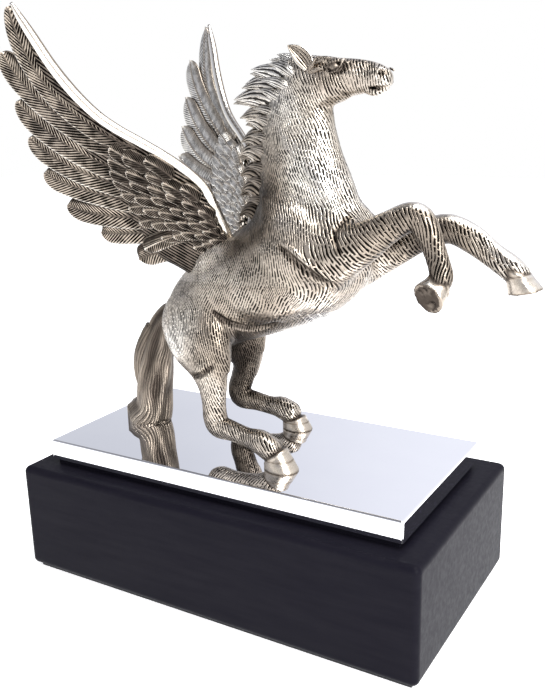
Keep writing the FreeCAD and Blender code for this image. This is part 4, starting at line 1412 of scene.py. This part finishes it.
def pale_material():
    """A pale table top, lit a little from within so that it stays near white."""
    material, tree, shader = new_material("pale_table")
    speckle = tree.noise(tree.place(), 12.0)
    colour = tree.ramp(speckle, [(0.3, (0.90, 0.90, 0.91)), (0.7, (0.93, 0.93, 0.94))])
    tree.fill(shader.inputs["Base Color"], colour)
    shader.inputs["Roughness"].default_value = 1.0
    shader.inputs["Specular IOR Level"].default_value = 0.0
    shader.inputs["Emission Color"].default_value = (1.0, 1.0, 1.0, 1.0)
    shader.inputs["Emission Strength"].default_value = 0.6
    return material


def backdrop():
    """The table top that the ornament stands on."""
    mesh = bpy.data.meshes.new("floor")
    half = 1.6
    corners = [(-half, -half, 0), (half, -half, 0), (half, half, 0), (-half, half, 0)]
    mesh.from_pydata(corners, [], [(0, 1, 2, 3)])
    mesh.materials.append(pale_material())
    floor = bpy.data.objects.new("floor", mesh)
    bpy.context.scene.collection.objects.link(floor)


def soft_light(name, place, target, size, power):
    """A rectangular area light that faces its target."""
    data = bpy.data.lights.new(name, "AREA")
    data.shape = "RECTANGLE"
    data.size, data.size_y = size
    data.energy = power
    light = bpy.data.objects.new(name, data)
    light.location = place
    light.rotation_euler = (Vector(target) - Vector(place)).to_track_quat("-Z", "Y").to_euler()
    bpy.context.scene.collection.objects.link(light)


def studio():
    """Surroundings that the silver mirrors, and two soft lights. They are white near the horizon,
    lavender grey above it and dark overhead, with two bright lobes on the right."""
    scene = bpy.context.scene
    scene.view_settings.view_transform = "Standard"
    scene.world = bpy.data.worlds.new("studio")
    scene.world.use_nodes = True
    tree = Tree(scene.world.node_tree)
    direction = tree.nodes.new("ShaderNodeTexCoord").outputs["Generated"]
    split = tree.nodes.new("ShaderNodeSeparateXYZ")
    tree.fill(split.inputs["Vector"], direction)
    height = split.outputs["Z"]
    above = tree.remap(height, 0.12, 0.24, 0.0, 1.0)

    def lobe(axis, start, end):
        """1 along the axis, falling to 0 away from it and at the horizon."""
        dot = tree.nodes.new("ShaderNodeVectorMath")
        dot.operation = "DOT_PRODUCT"
        dot.inputs[1].default_value = Vector(axis).normalized()
        tree.fill(dot.inputs[0], direction)
        return tree.calc("MULTIPLY", tree.remap(dot.outputs["Value"], start, end, 0.0, 1.0), above)

    colour = tree.ramp(height, [
        (0.0, (1.0, 1.0, 1.0)), (0.13, (1.0, 1.0, 1.0)), (0.24, (0.75, 0.77, 0.84)),
        (0.42, (0.58, 0.60, 0.67)), (0.60, (0.46, 0.47, 0.51)), (0.78, (0.20, 0.20, 0.22)),
        (1.0, (0.24, 0.24, 0.26))])
    colour = tree.mix("MIX", lobe((0.60, 0.75, 0.30), 0.20, 0.65), colour, (0.92, 0.94, 1.04))
    colour = tree.mix("MIX", lobe((0.85, 0.25, 0.35), 0.45, 0.95), colour, (1.25, 1.25, 1.28))
    background = tree.nodes["Background"]
    tree.fill(background.inputs["Color"], colour)
    background.inputs["Strength"].default_value = 1.0
    soft_light("top_box", (0.20, -0.10, 0.75), (0.0, 0.0, 0.10), (0.55, 0.45), 7.0)
    soft_light("right_box", (0.60, -0.45, 0.42), (0.0, 0.0, 0.13), (0.35, 0.45), 7.0)


def add_camera():
    """A camera that looks down on the right front corner and leans over a little."""
    azimuth, elevation, lean = math.radians(31.08), math.radians(15.85), math.radians(-1.44)
    flat = math.cos(elevation)
    back = Vector((math.sin(azimuth) * flat, -math.cos(azimuth) * flat, math.sin(elevation)))
    right = Vector((math.cos(azimuth), math.sin(azimuth), 0))
    up = back.cross(right)
    right, up = (right * math.cos(lean) + up * math.sin(lean), up * math.cos(lean) - right * math.sin(lean))
    data = bpy.data.cameras.new("camera")
    data.sensor_width = 36.0
    data.lens = 44.2
    data.clip_start = 0.01
    camera = bpy.data.objects.new("camera", data)
    turn = Matrix((right, up, back)).transposed().to_4x4()
    camera.matrix_world = Matrix.Translation(CAMERA_TARGET + back * CAMERA_DISTANCE) @ turn
    bpy.context.scene.collection.objects.link(camera)
    bpy.context.scene.camera = camera


add_camera()
studio()
backdrop()
horse_pieces()
wing_pieces()
mane_piece()
tail_piece()
finish_cad_nodes()
